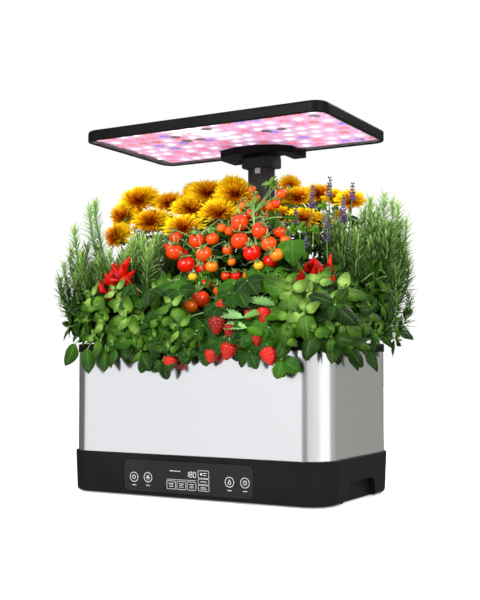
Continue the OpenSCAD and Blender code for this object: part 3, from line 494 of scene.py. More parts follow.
BASIL_LEAVES = [blade(oval(0.78, 0.72), 14, 8, cup=0.24, fold=0.16, bend=b, pucker=0.02, wave=0.008)
                for b in (0.45, 0.75, 1.05)]
HANGING_LEAF = blade(oval(0.85, 0.75), 14, 8, cup=0.14, fold=0.12, bend=-0.15, pucker=0.02, wave=0.012)
PEPPER_LEAVES = [blade(oval(0.85, 0.9), 12, 6, cup=0.25, fold=0.15, bend=b, wave=0.02) for b in (0.5, 0.9)]
HEART_LEAF = blade(lambda t: oval(0.62, 0.75)(0.12 + 0.88 * t), 16, 8, cup=0.12, fold=0.12, bend=0.45, wave=0.015,
                   pucker=0.02)
BERRY_LEAFLETS = [blade(oval(1.05, 0.62), 32, 8, fold=0.22, bend=b, teeth=8, tooth=0.42, pucker=0.012)
                  for b in (0.25, 0.6)]
TOMATO_LEAFLETS = [blade(oval(0.85, 0.7), 20, 6, fold=0.2, bend=b, teeth=5, tooth=0.55, wave=0.03)
                   for b in (0.4, 0.9)]
NEEDLES = [blade(lambda t: 1 - 0.7 * t ** 3, 3, 2, fold=-0.08, bend=b) for b in (0.1, 0.45, -0.25)]
PETALS = [blade(lambda t: 0.5 + 0.8 * t - 1.05 * t ** 4, 4, 2, fold=0.1, bend=b) for b in (-0.35, -0.1, 0.2, 0.5)]
SEPALS = [blade(lambda t: 1 - 0.85 * t, 5, 2, fold=0.3, bend=b) for b in (-1.2, -0.5, 0.6)]
FLORET = blade(lambda t: np.sin(np.pi * (0.15 + 0.8 * t)), 3, 2, fold=-0.8, bend=-0.5)
TOMATO = turned([[0, 0.80], [0.3, 0.9], [0.62, 0.8], [0.93, 0.42], [1, 0.0], [0.88, -0.48], [0.55, -0.8], [0.2, -0.92],
                 [0, -0.93]], 20)
STRAWBERRY = turned([[0, 0.03], [0.55, 0.0], [0.95, 0.25], [1, 0.6], [0.82, 1.1], [0.5, 1.6], [0.2, 1.92],
                     [0, 2.0]], 18)
CHILLI = turned([[0, 0], [0.8, 0.02], [1, 0.18], [0.92, 0.4], [0.68, 0.65], [0.34, 0.88], [0.08, 0.99], [0, 1.0]], 10)

# ---- plants ----

POD_X, POD_Y = (-141, -47, 47, 141), (-64, -1, 62)
DECK = 201.0
OUTER, INNER = {-1: 0, 1: 3}, {-1: 1, 1: 2}      # the columns of pods at a side
PEPPER_SIZES, PEPPER_GAP, PEPPER_STEM = (16, 30, 40, 44), 15, 1.6


def pod(column, row):
    """Where a pod's plant comes out. Columns count from the left and rows from the front."""
    return vec(POD_X[column], POD_Y[row], DECK)


def walk(path):
    """The length of a path, and a function that gives the point at a distance from its start."""
    steps = np.r_[0, np.cumsum(np.linalg.norm(np.diff(path, axis=0), axis=1))]
    return steps[-1], lambda place: np.array([np.interp(place, steps, path[:, i]) for i in range(3)])


def clear_steps(path, above, first):
    """Which points of a path are clear of the spaces kept free. The first few always count as clear."""
    return [not blocked(p[None] + vec(0, 0, above)) or k < first for k, p in enumerate(path)]


def nearest(path, p):
    return path[np.argmin(np.linalg.norm(path - p, axis=1))]


def shoot(leaves, stems, rng, root, tip, out):
    """A stem from root to tip that bears pairs of leaves, each pair turned a quarter from the last, the smallest at
    the tip. out is the way out of the plant, which the leaves turn to."""
    out = unit(out + vec(1e-4, 0, 0))
    middle = root * 0.45 + tip * 0.55 + vec(0, 0, 0.28 * abs(tip[2] - root[2]) + 10)
    path = curve(root, middle, tip, steps=14)
    stems.tube(path, (PEPPER_STEM, PEPPER_STEM * 0.5), rng.integers(0, 8))
    long, point = walk(path)
    turn = rng.uniform(0, math.pi)
    for k, size in enumerate(PEPPER_SIZES):
        place = long - PEPPER_GAP * k * (1 + 0.12 * k)
        if place < 4:
            break
        spot = point(place)
        ahead = unit(point(place + 3) - spot + vec(0, 0, 0.01))
        age = k / (len(PEPPER_SIZES) - 1)
        for half in (0, 1):
            side = about(ahead, turn + half * math.pi + rng.normal(0, 0.2))
            grow = size * rng.uniform(0.85, 1.12)
            along = unit(side * (0.35 + 0.85 * age) + ahead * (0.9 - 0.75 * age) + out * 0.25 * age
                         + vec(0, 0, -0.35 * age) + rng.normal(0, 0.08, 3))
            face = unit(ahead * 0.8 + out * 0.55 + vec(0, 0, 0.45) + rng.normal(0, 0.12, 3))
            stalk = grow * 0.18 * age
            start = spot + along * PEPPER_STEM * 0.4
            tint = (1 + 10 * (0.9 - 0.62 * age)) + rng.normal(0, 1.6)
            if leaves.put(PEPPER_LEAVES[rng.integers(2)], start + along * stalk, along, face, grow,
                          grow * 0.46 * rng.uniform(0.92, 1.08), tint) and stalk > 2:
                stems.tube([start - along * 0.6, start + along * (stalk + 1.0)],
                           (PEPPER_STEM * 0.4, PEPPER_STEM * 0.3), 4, sides=4)
        turn += math.pi / 2 + rng.normal(0, 0.15)


def three_leaves(leaves, stems, rng, root, tip, face, size, tint, ahead=None):
    """A strawberry leaf: three toothed leaflets at the end of a stalk."""
    path = curve(root, root * 0.4 + tip * 0.6 + vec(0, 0, 22), tip)
    ahead = unit(ahead if ahead is not None else unit(tip - root) * [1, 0.5, 0.2] + vec(0, 0, -0.5))
    face = unit(face)
    x, y, z = axes(ahead, face)
    done = False
    for turn, share in ((0, 1.0), (1.25, 0.88), (-1.25, 0.88)):
        along = unit(y * math.cos(turn) + x * math.sin(turn) + z * rng.uniform(-0.25, 0.1))
        done |= leaves.put(BERRY_LEAFLETS[rng.integers(2)], tip + along, along, face + rng.normal(0, 0.1, 3),
                           size * share * rng.uniform(0.93, 1.07), size * share * 0.82, tint + rng.integers(-1, 2))
    if done:
        stems.tube(path, (1.3, 0.9), 6)


def compound(leaves, stems, rng, root, tip, face, size, tint, pairs=2):
    """A tomato leaf: toothed leaflets in pairs along a stalk, and one at its end."""
    path = curve(root, (root + tip) / 2 + vec(0, 0, size * 0.35), tip)
    ahead = unit(path[-1] - path[-3])
    placed = leaves.put(TOMATO_LEAFLETS[rng.integers(2)], path[-1], ahead, face, size, size * 0.7, tint)
    for k in range(pairs):
        spot = path[-3 - 2 * k]
        x, y, _ = axes(path[-2 - 2 * k] - spot, face)
        for side in (-1, 1):
            along = unit(x * side + y * 0.5 + rng.normal(0, 0.12, 3))
            placed |= leaves.put(TOMATO_LEAFLETS[rng.integers(2)], spot, along, face,
                                 size * (0.85 - 0.15 * k), size * 0.5, tint + rng.integers(-1, 2))
    if placed:
        stems.tube(path, (1.5, 0.8), 8)


# Parts of the picture where fruit or flowers show in front of the leaves: left, right, top and bottom pixel, depth
OPEN = [(178, 216, 278, 318, -62), (208, 226, 314, 340, -121), (218, 238, 342, 362, -122), (260, 280, 346, 368, -122),
        (160, 180, 356, 372, -122), (98, 132, 226, 252, 34), (132, 168, 206, 234, 46), (104, 142, 204, 226, 53),
        (167, 203, 212, 236, 32)]


def shown_at(p):
    """The pixel at which a point shows."""
    away = (p - EYE) @ AHEAD
    return CENTRE_X + FOCAL * ((p - EYE) @ RIGHT) / away, CENTRE_Y - FOCAL * ((p - EYE) @ UP) / away


def hides(p):
    """Whether a point shows in front of one of these fruits or flowers."""
    px, py = shown_at(p)
    return any(a < px < b and c < py < d and p[1] < depth for a, b, c, d, depth in OPEN)


def inside_cell(rng, low, high, count):
    """Random points of a box, apart from those that would hide fruit or flowers."""
    low, high = np.array(low, float), np.array(high, float)
    found = []
    while len(found) < count:
        p = rng.uniform(low, high)
        if not hides(p):
            found.append(p)
    return found


# The pairs of leaves of a basil shoot from the inside out: size, how far open in degrees, how far back, tint
BASIL_PAIRS = ((0.4, 22, 0.0, 5), (0.76, 52, 0.05, 3), (1.06, 84, 0.16, -1), (1.08, 112, 0.4, -4))


def rosette(leaves, stems, rng, root, tip, axis, size, tints):
    """A basil shoot: pairs of leaves that open round its tip, small and pale inside, broad and dark outside."""
    axis = unit(axis)
    stems.tube(curve(root, root + vec(0, 0, 24), tip - axis * size * 1.1 - vec(0, 0, 6), tip, steps=12), (1.7, 0.9),
               rng.integers(0, 8))
    turn = rng.uniform(0, math.pi)
    for level, (share, splay, back, paler) in enumerate(BASIL_PAIRS):
        for half in (0, 1):
            side = about(axis, turn + half * math.pi + rng.normal(0, 0.14))
            open_to = math.radians(splay + rng.normal(0, 9))
            along = unit(axis * math.cos(open_to) + side * math.sin(open_to) + vec(0, 0, -0.14 * level))
            face = unit(axis * math.sin(open_to) - side * math.cos(open_to) + rng.normal(0, 0.08, 3))
            grow = size * share * rng.uniform(0.9, 1.1)
            tint = tints + paler + rng.normal(0, 1.1)
            start = tip - axis * size * back + side * (0.6 + level * 0.8)
            leaves.put(BASIL_LEAVES[rng.integers(3)], start, along, face, grow, grow * rng.uniform(0.6, 0.68), tint)
        turn += math.pi / 2


BASIL_FRONT = -130           # how far to the front a shoot's tip may stand
SIDE_FROM = -90              # the depth behind which shoots and leaves turn to the side
# The air of each bush is filled with shoots or leaves at random places of a box
BASIL_FILL, STRAWBERRY_FILL, PEPPER_FILL = 26, 34, 40
BASIL_AIR = {-1: ((-206, -124, 208), (-98, -40, 262)), 1: ((98, -124, 208), (222, -40, 262))}


def basil(side, rng):
    """A bush of basil at a front corner, which hangs over the rim at the front and the side."""
    leaves, stems = Heap(), Heap()
    root = pod(OUTER[side], 0)
    for px, py, depth, size, tint in BASIL_TIPS[side]:
        tip = at(px, py, max(depth - 7, BASIL_FRONT))
        beside = max(0.0, (depth - SIDE_FROM) / 60) if side > 0 else 0.0
        axis = vec(rng.normal(0.12 * side, 0.22) + beside, -0.85 + 0.4 * beside, 0.5)
        rosette(leaves, stems, rng, root + rng.normal(0, 2, 3) * FLAT, tip, axis, size, tint)
    for px, py, depth, fall, size, tint in HANGING[side]:
        tip = at(px, py, depth)
        along = unit(fall)
        start = tip - along * size * 0.92
        face = unit(vec(0.3, -0.85, 0.3) if depth < SIDE_FROM else vec(0.9, -0.35, 0.3))
        if leaves.put(HANGING_LEAF, start, along, face, size, size * 0.6, tint):
            stems.tube(curve(root, root * 0.25 + start * 0.75 + vec(0, 0, 26), start + along * 2), (1.4, 0.7), 3)
    for p in inside_cell(rng, *BASIL_AIR[side], BASIL_FILL):
        out = unit((p - root) * FLAT + vec(0, -14, 20))
        rosette(leaves, stems, rng, root, p, out, rng.uniform(26, 34), rng.integers(0, 4))
    return leaves, stems


# Where the shoots' tips show in the picture: pixel, depth, size of the broad leaves, tint
BASIL_TIPS = {
    -1: [
        (90, 296, -104, 32, 9), (115, 290, -88, 27, 9), (123, 301, -112, 28, 10), (124, 315, -122, 34, 9),
        (154, 291, -96, 30, 9), (170, 305, -112, 34, 8), (103, 322, -118, 30, 6), (95, 337, -122, 28, 8),
        (134, 334, -124, 32, 6), (154, 338, -124, 33, 5), (178, 328, -118, 32, 7), (87, 320, -112, 28, 5),
        (112, 344, -124, 28, 5), (142, 312, -108, 30, 3), (160, 320, -118, 30, 4), (189, 340, -116, 30, 5),
        (97, 308, -106, 28, 6), (120, 332, -126, 30, 4), (88, 302, -84, 28, 3), (86, 330, -96, 26, 3),
        (168, 348, -126, 28, 4), (140, 350, -126, 28, 3)],
    1: [
        (284, 283, -100, 28, 9), (291, 290, -116, 34, 9), (310, 290, -100, 24, 10), (304, 310, -124, 34, 9),
        (318, 280, -84, 28, 9), (341, 288, -66, 34, 9), (330, 302, -96, 26, 8), (312, 330, -124, 32, 5),
        (340, 324, -92, 24, 9), (290, 318, -120, 30, 6), (366, 312, -20, 30, 5), (383, 304, 40, 30, 4),
        (362, 328, -30, 30, 6), (352, 318, -56, 28, 6), (376, 330, 10, 30, 5), (394, 322, 66, 30, 4),
        (330, 336, -112, 28, 4), (356, 340, -44, 28, 4), (286, 336, -122, 28, 4), (372, 292, 16, 28, 4),
        (386, 336, 50, 26, 5), (346, 344, -74, 26, 4), (404, 312, 94, 26, 3), (396, 338, 84, 24, 4)]}
# Leaves that hang over the rim: pixel of the tip, depth, the way they fall, length, tint
HANGING = {
    -1: [
        (67, 364, -122, (-0.45, 0, -0.9), 34, 4), (89, 372, -124, (0.12, 0, -1), 35, 4),
        (105, 370, -125, (0.03, 0, -1), 32, 4), (127, 358, -126, (0, 0, -1), 31, 4),
        (126, 352, -128, (0.2, 0, -1), 30, 2), (112, 350, -128, (-0.1, 0, -0.9), 30, 6),
        (190, 357, -124, (0.7, 0, -0.7), 28, 3), (150, 350, -127, (-0.15, 0, -1), 32, 5),
        (168, 352, -127, (0.15, 0, -1), 32, 4), (178, 346, -127, (0, 0, -1), 30, 3),
        (138, 346, -128, (0.1, 0, -1), 30, 7), (202, 352, -124, (0.3, 0, -1), 26, 2)],
    1: [
        (332, 362, -114, (-0.05, -0.1, -1), 32, 4), (356, 369, -43, (0.1, 0.1, -1), 34, 4),
        (375, 370, 16, (0.2, 0.1, -1), 36, 3), (394, 361, 89, (0.5, 0.3, -0.9), 32, 3),
        (411, 339, 110, (0.5, 0.6, -0.8), 32, 2), (390, 347, 70, (0.3, 0.2, -0.9), 32, 4),
        (314, 352, -124, (0, -0.1, -1), 30, 4), (345, 356, -80, (0.1, 0, -1), 28, 3),
        (366, 356, -10, (0.2, 0, -1), 30, 4)]}


STRAWBERRY_AIR = {-1: ((-92, -126, 206), (-2, -54, 286)), 1: ((2, -126, 206), (92, -54, 286))}


def strawberry(side, rng):
    """A strawberry plant in the middle of the front row, with fruit that hangs over the rim."""
    leaves, stems = Heap(), Heap()
    root = pod(INNER[side], 0)
    for px, py, depth, way, size, tint in BERRY_LEAVES[side]:
        three_leaves(leaves, stems, rng, root, at(px, py, depth), vec(0.2, -0.85, 0.42), size, tint,
                     ahead=vec(way[0], -0.1, way[1]))
    for foot, depth, point, width, tint in PALE_LEAFLETS if side > 0 else ():
        start, end = at(*foot, depth), at(*point, depth - 3)
        leaves.put(BERRY_LEAFLETS[0], start, end - start, (0.1, -0.75, 0.65), np.linalg.norm(end - start), width, tint)
        stems.tube(curve(root, root + vec(0, -30, 70), start + vec(0, 6, -4), start), (1.2, 0.7), 6)
    for p in inside_cell(rng, *STRAWBERRY_AIR[side], STRAWBERRY_FILL):
        out = unit((p - root) * [1, 0.6, 0] + vec(0, -14, 12))
        three_leaves(leaves, stems, rng, root, p, out + vec(0, -0.2, 0.5) + rng.normal(0, 0.2, 3),
                     rng.uniform(22, 30), rng.integers(0, 7))
    return leaves, stems, root


# Strawberry leaves in front: pixel of the stalk's end, depth, way across and up, size, tint
BERRY_LEAVES = {
    -1: [
        (149, 357, -123, (-0.5, -0.8), 25, 2), (163, 361, -124, (0.3, -0.9), 23, 1),
        (205, 346, -122, (0.1, -0.9), 25, 1), (192, 334, -120, (-0.4, -0.7), 26, 3),
        (204, 326, -118, (-0.3, -0.8), 24, 4), (184, 346, -124, (0.2, -0.9), 25, 2),
        (214, 342, -123, (-0.3, -0.9), 22, 3), (184, 322, -114, (0.2, -0.9), 24, 3)],
    1: [
        (262, 312, -114, (0.9, -0.2), 30, 8), (236, 296, -104, (-0.4, 0.7), 28, 7),
        (236, 334, -118, (0.3, -0.8), 27, 4), (282, 360, -124, (0.8, -0.4), 28, 6),
        (283, 358, -123, (-0.1, -0.9), 25, 3), (250, 352, -124, (-0.7, -0.7), 24, 2),
        (256, 336, -122, (0.2, -0.9), 28, 4), (238, 342, -124, (-0.3, -0.9), 27, 1),
        (270, 328, -120, (0.5, -0.8), 28, 5), (224, 338, -122, (-0.5, -0.8), 25, 2),
        (276, 342, -122, (0.4, -0.9), 26, 3), (268, 292, -100, (0.3, 0.8), 26, 7),
        (246, 324, -118, (0.4, -0.8), 28, 3)]}
# Pale leaflets that lie flat in front: pixel of the base, depth, pixel of the tip, width, tint
PALE_LEAFLETS = [((243, 318), -121, (215, 312), 19, 14), ((247, 328), -123, (221, 325), 17, 14),
                 ((247, 300), -114, (222, 294), 17, 11), ((246, 300), -114, (274, 303), 16, 13),
                 ((243, 318), -121, (262, 311), 15, 12), ((247, 328), -123, (262, 334), 15, 9)]
# Fruit as it shows in the picture: pixel of the tip of a strawberry or of the middle of a tomato, depth, radius, tint
STRAWBERRIES = {
    -1: [
        (170, 364, -124, 9.5, 10), (217, 326, -123, 12, 2), (211, 357, -121, 9, 9)],
    1: [
        (228, 352, -124, 11, 8), (270, 357, -124, 11.5, 13), (230, 332, -120, 9, 3), (224, 308, -112, 10, 13),
        (264, 316, -114, 10, 13), (257, 341, -122, 7, 6), (240, 346, -119, 7, 3), (250, 316, -110, 8, 11)]}
TOMATOES = {
    -1: [
        (174.5, 252, -20, 12.6, 1), (186.3, 264.5, -26, 12.6, 0), (204, 254, -20, 11.8, 2), (197, 241, -12, 11.6, 1),
        (212.4, 239, -8, 9.5, 2), (211.8, 266.5, -26, 8.8, 6), (203, 268, -14, 10, 0), (192.7, 277, -30, 6.4, 13),
        (200.3, 299.5, -60, 12.8, 1), (190, 306.5, -70, 10.8, 4), (176, 238, 4, 9.5, 1), (219, 291, -34, 8, 2),
        (185, 254, -4, 8, 0), (226, 276, -16, 7, 1), (222, 307, -48, 11, 3), (166, 247, 0, 6, 2), (228, 250, -12, 8, 2),
        (206, 284, -30, 7, 0), (222, 228, 0, 7, 3), (180, 284, -30, 6, 2), (232, 262, -16, 6, 5)],
    1: [
        (240, 241, -16, 12.8, 1), (240, 223, -6, 12.8, 1), (252, 253, -24, 12.2, 0), (260, 231, -12, 12, 1),
        (269, 244, -18, 11, 2), (276.8, 255, -24, 9.2, 6), (258.7, 265.5, -28, 6.6, 13), (270.5, 261, -14, 10, 0),
        (281, 194, 36, 8, 2), (256, 199, 30, 7, 2), (276, 186, 44, 6, 4), (236, 276, -18, 7.5, 0),
        (246, 291, -30, 7, 1), (268, 206, 20, 8, 3), (280, 232, 0, 9, 1), (230, 231, 4, 8, 2), (252, 214, 8, 9, 1),
        (276, 204, 24, 7, 1), (247, 276, -22, 6, 5), (266, 220, 10, 8, 3), (285, 240, 0, 7, 3), (252, 190, 36, 6, 3),
        (268, 279, -26, 6, 1), (284, 282, -30, 7, 4), (243, 206, 16, 6.5, 4)]}
# Flat sprays of young leaves above the fruit: pixel, depth, size, tint
SPRAYS = [(270, 184, 30, 14, 12), (253, 205, 8, 14, 12), (300, 228, 6, 13, 10), (290, 230, 4, 12, 11),
          (322, 206, 40, 10, 11), (313, 230, 14, 12, 10), (335, 208, 60, 7, 9)]
# Where chillies show, two at each place: pixel, depth
CHILLIES = {
    -1: [
        (124, 268, -72), (117, 273, -76), (110, 281, -80), (103, 292, -84), (110, 300, -86), (131, 288, -80),
        (127, 277, -70), (113, 274, -70)],
    1: [
        (309, 266, -40), (318, 266, -44), (325, 276, -48), (302, 282, -50), (332, 288, -54), (323, 294, -60),
        (315, 274, -36), (329, 268, -36)]}
# Flower heads: pixel of the dark middle, depth, radius
HEADS = [(140, 203.5, 60, 31), (170, 206, 70, 27), (124, 220, 55, 31), (151, 225, 48, 31), (116, 240, 34, 30),
         (191, 212, 56, 28), (219, 216, 48, 29), (184, 231, 32, 29), (208, 193, 62, 29), (236, 197, 58, 28),
         (298, 200, 70, 24), (320, 197, 84, 24), (351, 203, 72, 21), (283, 219, 46, 22), (304, 221, 42, 23),
         (320, 223, 60, 18), (335, 200, 80, 17), (262, 214, 52, 15), (282, 206, 76, 16)]
# More heads behind, which show from the sides and the back: x, y, z, radius
BACK_HEADS = [(-186, 112, 392, 23), (-138, 116, 418, 24), (-92, 112, 388, 23), (-54, 114, 410, 22), (-30, 62, 436, 22),
              (46, 112, 396, 21), (84, 114, 410, 22), (52, 84, 432, 19), (120, 112, 380, 20), (-162, 108, 344, 20),
              (-70, 104, 350, 20), (80, 100, 356, 18), (-214, 84, 352, 20), (-110, 86, 436, 22)]
# Spikes of lavender: pixel across, pixel of the top and of the foot, depth
LAVENDER = [(312, 187, 208, 36), (329, 178, 196, 60), (352, 184, 200, 50), (343, 196, 222, 36), (295.5, 208, 228, 22),
            (327, 212, 242, 30), (285.5, 224, 240, 24), (229.6, 224, 240, 24), (218, 240, 250, 14), (166, 241, 252, 2),
            (305, 232, 248, 14), (270, 226, 240, 8)]


SEPAL_COUNT = 6


def ball(fruit, calyx, rng, where, size, square, up):
    """A tomato with its cap of sepals and the end of its stalk. up points from the fruit to the stalk."""
    up = unit(up)
    fruit.put(TOMATO, where, up, about(up, rng.uniform(0, 6)), size * 0.95, size, square, test=False, thick=size)
    top = where + up * size * 0.82
    turn = rng.uniform(0, 6)
    for k in range(SEPAL_COUNT):
        side = about(up, turn + k * 2 * math.pi / SEPAL_COUNT + rng.normal(0, 0.12))
        calyx.put(SEPALS[rng.integers(3)], top + side * 0.4, unit(side + up * rng.uniform(0.0, 0.45)), up,
                  size * 1.15 * rng.uniform(0.7, 1.0), size * 0.3, rng.integers(8, 16), test=False)
    bend = unit(up + rng.normal(0, 0.25, 3))
    calyx.tube(curve(top - up * size * 0.1, top + up * size * 0.4, top + bend * size * 1.1, steps=5),
               (size * 0.1, size * 0.075), 9)
    return top + bend * size * 1.05


CROWN_HIGH = {-1: 160, 1: 182}
TOMATO_AIR = {-1: ((-94, -8, 226), (0, 40, 368)), 1: ((0, -8, 226), (94, 40, 380))}


def tomato(side, rng):
    """A cherry tomato plant in the middle, with trusses of fruit."""
    leaves, stems, fruit = Heap(), Heap(), Heap()
    root = pod(INNER[side], 1)
    crown = root + vec(side * -6, -6, CROWN_HIGH[side])
    main = curve(root, root + vec(side * 14, -8, 60), crown + vec(side * 10, -6, -70), crown, steps=24)
    stems.tube(main, (3.2, 1.6), 6, sides=7)
    for px, py, depth, radius, tint in TOMATOES[side]:
        end = ball(fruit, stems, rng, at(px, py, depth), radius, tint, unit(vec(0, -0.5, 1) + rng.normal(0, 0.28, 3)))
        near = nearest(main, end - vec(0, 0, 22))
        stems.tube(curve(end, end * 0.6 + near * 0.4 + vec(0, 10, 6), near, steps=8), (0.7, 1.1), 3)
    low, high = TOMATO_AIR[side]
    # Leaves among the fruit, behind it and in front of it: the box, how many, how far they turn outwards, the way they
    # face and how unevenly, size and tint
    layers = ((low, high, 58, 0.5, (0, -0.5, 0.7), 0.25, (16, 26), (-3, 9)),
              ((low[0], 0, 214), (high[0], 56, 352), 64, 0, (0, -0.4, 0.5), 0.5, (22, 30), (0, 4)),
              ((low[0], -44, 214), (high[0], 0, 300), 30, 0, (side * 0.1, -0.8, 0.5), 0.25, (18, 27), (2, 12)))
    for start, stop, count, outward, face, uneven, size, tint in layers:
        for p in inside_cell(rng, start, stop, count):
            out = unit((p - root) * FLAT + vec(0, -14, 0.01))
            compound(leaves, stems, rng, nearest(main, p), p,
                     unit(out * outward + np.array(face) + rng.normal(0, uneven, 3)), rng.uniform(*size),
                     max(rng.integers(*tint), 0))
    return leaves, stems, fruit


PEPPER_AIR = ((98, -30, 224), (226, 30, 300))


def pepper(rng):
    """The leafy branches of the chilli plant at the right."""
    leaves, stems, root = Heap(), Heap(), pod(3, 1)
    for p in inside_cell(rng, *PEPPER_AIR, PEPPER_FILL):
        out = unit((p - root) * FLAT + vec(0, -8, 0.01))
        shoot(leaves, stems, rng, root + rng.normal(0, 2, 3) * FLAT, p, out)
    return leaves, stems


FOOT_BARE, TIP_LONG = 26.0, 26      # of a rosemary stem: its bare foot, and its tip with closer needles


def rosemary(rng, root, tips, count, low, high):
    """Upright stems closely set with needles, pale towards the tips, with painted shade that darkens the low needles
    and those of the filling stems.
    """
    needles, stems = Heap(), Heap()
    # The listed tips count as fully lit and the filling stems as 0.45: painted shade inside the bush
    ends = [(np.array(t, float), 1.0) for t in tips] + [(p, 0.45) for p in inside_cell(rng, low, high, count)]
    for end, bright in ends:
        while hides(end):
            end = end - vec(0, 0, 6.0)
        start = root + rng.normal(0, 4, 3) * FLAT
        away = (end - start) * FLAT
        path = curve(start, start + away * 0.5 + vec(0, 0, 30), end - vec(0, 0, 70) + away * 0.03, end, steps=30)
        path[:, :2] += np.sin(np.linspace(0, rng.uniform(2, 5), 30))[:, None] * rng.normal(0, 1.6, 2)
        path = path[clear_steps(path, 2, 3)]
        if len(path) < 12:
            continue
        stems.tube(path, (1.9, 0.7), rng.integers(0, 16))
        long, point = walk(path)
        place, turn = FOOT_BARE, rng.uniform(0, 6)
        while place < long:
            spot = point(place)
            ahead = unit(point(place + 4) - spot + vec(0, 0, 1e-3))
            share = place / long
            ended = max(0.0, 1 - (long - place) / TIP_LONG)
            for k in range(3):
                side = about(ahead, turn + k * 2.1 + rng.normal(0, 0.2))
                along = unit(side * (1.0 - 0.3 * ended) + ahead * (0.7 + 0.45 * ended + 0.2 * share)
                             + vec(0, 0, -0.3 * (1 - share)) + rng.normal(0, 0.1, 3))
                size = (17.0 - 3 * ended) * rng.uniform(0.75, 1.15)
                # Painted shade: needles below about 365 mm are darker the lower they stand, as if shaded by the bush
                # above them
                light = bright * min(1.0, max(0.2, (spot[2] - 245) / 120))
                tint = (2 + 13 * share ** 1.8) * light + rng.normal(0, 1.5) + 8 * light * (rng.random() < 0.25)
                needles.put(NEEDLES[rng.integers(3)], spot, along, ahead, size, rng.uniform(1.7, 2.4) / bright ** 0.4,
                            tint)
            turn += 1.1
            place += 2.0 + 1.0 * share
    return needles, stems


GOLDEN_ANGLE = 2.39996
PETAL_COUNT, PETAL_HEAD = 700, 24      # so many petals on a head of this radius


def flower(petals, greens, rng, where, radius, axis):
    """A wide head of narrow petals that fan up and out from a low dark middle, with a ragged fringe under it."""
    axis = unit(axis)
    above = unit(vec(0, 0, 1.0) - axis * axis[2])
    count = int(PETAL_COUNT * (radius / PETAL_HEAD) ** 1.1)
    for k in range(count):
        part = (k + 0.5) / count
        tilt = math.radians(8 + 90 * part ** 0.6)
        side = about(axis, k * GOLDEN_ANGLE + rng.normal(0, 0.12))
        rise = side @ above
        if rise < -0.35 and rng.random() < 0.5:
            continue
        along = unit(axis * math.cos(tilt) + side * math.sin(tilt) + above * 0.16 + rng.normal(0, 0.05, 3))
        reach = (0.34 + 0.66 * part ** 0.7) * (1.28 + (-0.18 if rise > 0 else 1.0) * rise)
        size = radius * reach * rng.uniform(0.88, 1.06)
        share = 1.35 * part ** 0.8 - 0.12 + (0.2 * part if rise > 0 else 0.75) * rise + rng.normal(0, 0.2)
        start = where + along * radius * 0.05
        if not blocked((start + along * size)[None]):
            petals.put(PETALS[rng.integers(4)], start, along, axis, size, radius * rng.uniform(0.075, 0.1), 15 * share,
                       test=False)
    for k in range(26):
        side = about(axis, rng.uniform(0, 6.3))
        if side @ above > -0.3:
            continue
        along = unit(side + axis * rng.uniform(-0.1, 0.5) + rng.normal(0, 0.1, 3))
        petals.put(PETALS[3], where - above * radius * 0.04, along, axis, radius * rng.uniform(0.3, 0.7),
                   radius * 0.07, rng.integers(0, 4), test=False)
    for k in range(9):
        side = about(axis, k * 0.7)
        greens.put(SEPALS[1], where - axis * radius * 0.12, unit(side - axis * 0.5), axis, radius * 0.4, 3.2, 8,
                   test=False)
    greens.put(TOMATO, where - axis * radius * 0.18, -axis, side, radius * 0.2, radius * 0.18, 7, test=False,
               thick=radius * 0.18)


def marigolds(rng):
    """The back row's flowers on their stems, with feathery leaves, one bush to each pod."""
    bushes = {i: (Heap(), Heap(), Heap()) for i in range(3)}
    spots = [(at(px, py, depth), radius, (0.3, -0.78, 0.55)) for px, py, depth, radius in HEADS]
    spots += [(np.array([x, y, z], float), radius, (x * 0.002, 0.78, 0.55)) for x, y, z, radius in BACK_HEADS]
    for where, radius, axis in spots:
        i = int(np.argmin([abs(where[0] - x) for x in POD_X[:3]]))
        petals, stems, leaves = bushes[i]
        where[2] = min(where[2], PLANT_TOP - radius)
        axis = unit(np.array(axis) + vec((where[0] - POD_X[i]) * 0.004, 0, 0) + rng.normal(0, 0.12, 3))
        flower(petals, stems, rng, where, radius, axis)
        root = pod(i, 2)
        path = curve(root, root * [0.6, 0.6, 1] + where * [0.4, 0.4, 0] + vec(0, 0, 80),
                     where - axis * radius - vec(0, 0, 40), where - axis * radius * 0.3, steps=16)
        keep = clear_steps(path, 3, 2)
        stems.tube(path[keep], np.linspace(2.4, 1.5, 16)[keep], 5, sides=6)
        for k in range(14):
            p = path[rng.integers(3, 14)]
            out = unit(about(unit(path[12] - path[6]), rng.uniform(0, 6)) + vec(0, 0.25 * axis[1], 0))
            compound(leaves, stems, rng, p, p + out * rng.uniform(14, 34) + vec(0, 0, 4),
                     unit(out * 0.6 + vec(0, 0, 0.8)), rng.uniform(13, 19), rng.integers(1, 10), pairs=3)
    return bushes


def spikes(rng):
    """Lavender spikes among the flowers at the back."""
    florets, stems = Heap(), Heap()
    for px, top, foot, depth in LAVENDER:
        high, low = at(px + 0.6, top, depth), at(px, foot, depth)
        root = pod(2 if high[0] > 0 else 1, 2) - vec(0, 4, 0)
        if high[0] > 120:
            root = pod(3, 2)
        path = np.vstack([curve(root, root + vec(0, 0, 90), low - (high - low) * 1.5, low, steps=14)[:-1],
                          curve(low, (low + high) / 2 + vec(1.0, 0, 0), high, steps=8)])
        keep = clear_steps(path, 3, 2)
        stems.tube(path[keep], np.linspace(1.3, 0.7, len(path))[keep], 0)
        whorls = int(np.linalg.norm(high - low) / 3.4)
        for w in range(whorls):
            share = w / max(whorls - 1, 1)
            spot = low * (1 - share) + high * share
            for k in range(8):
                if rng.random() < 0.2:
                    continue
                side = about(high - low, w * 0.5 + k * 0.785 + rng.normal(0, 0.3))
                size = (5.4 - 2.6 * share) * rng.uniform(0.6, 1.3)
                florets.put(FLORET, spot + side * 0.5, unit(side + unit(high - low) * 0.75), high - low, size,
                            size * 0.62, rng.integers(0, 16))
    return florets, stems
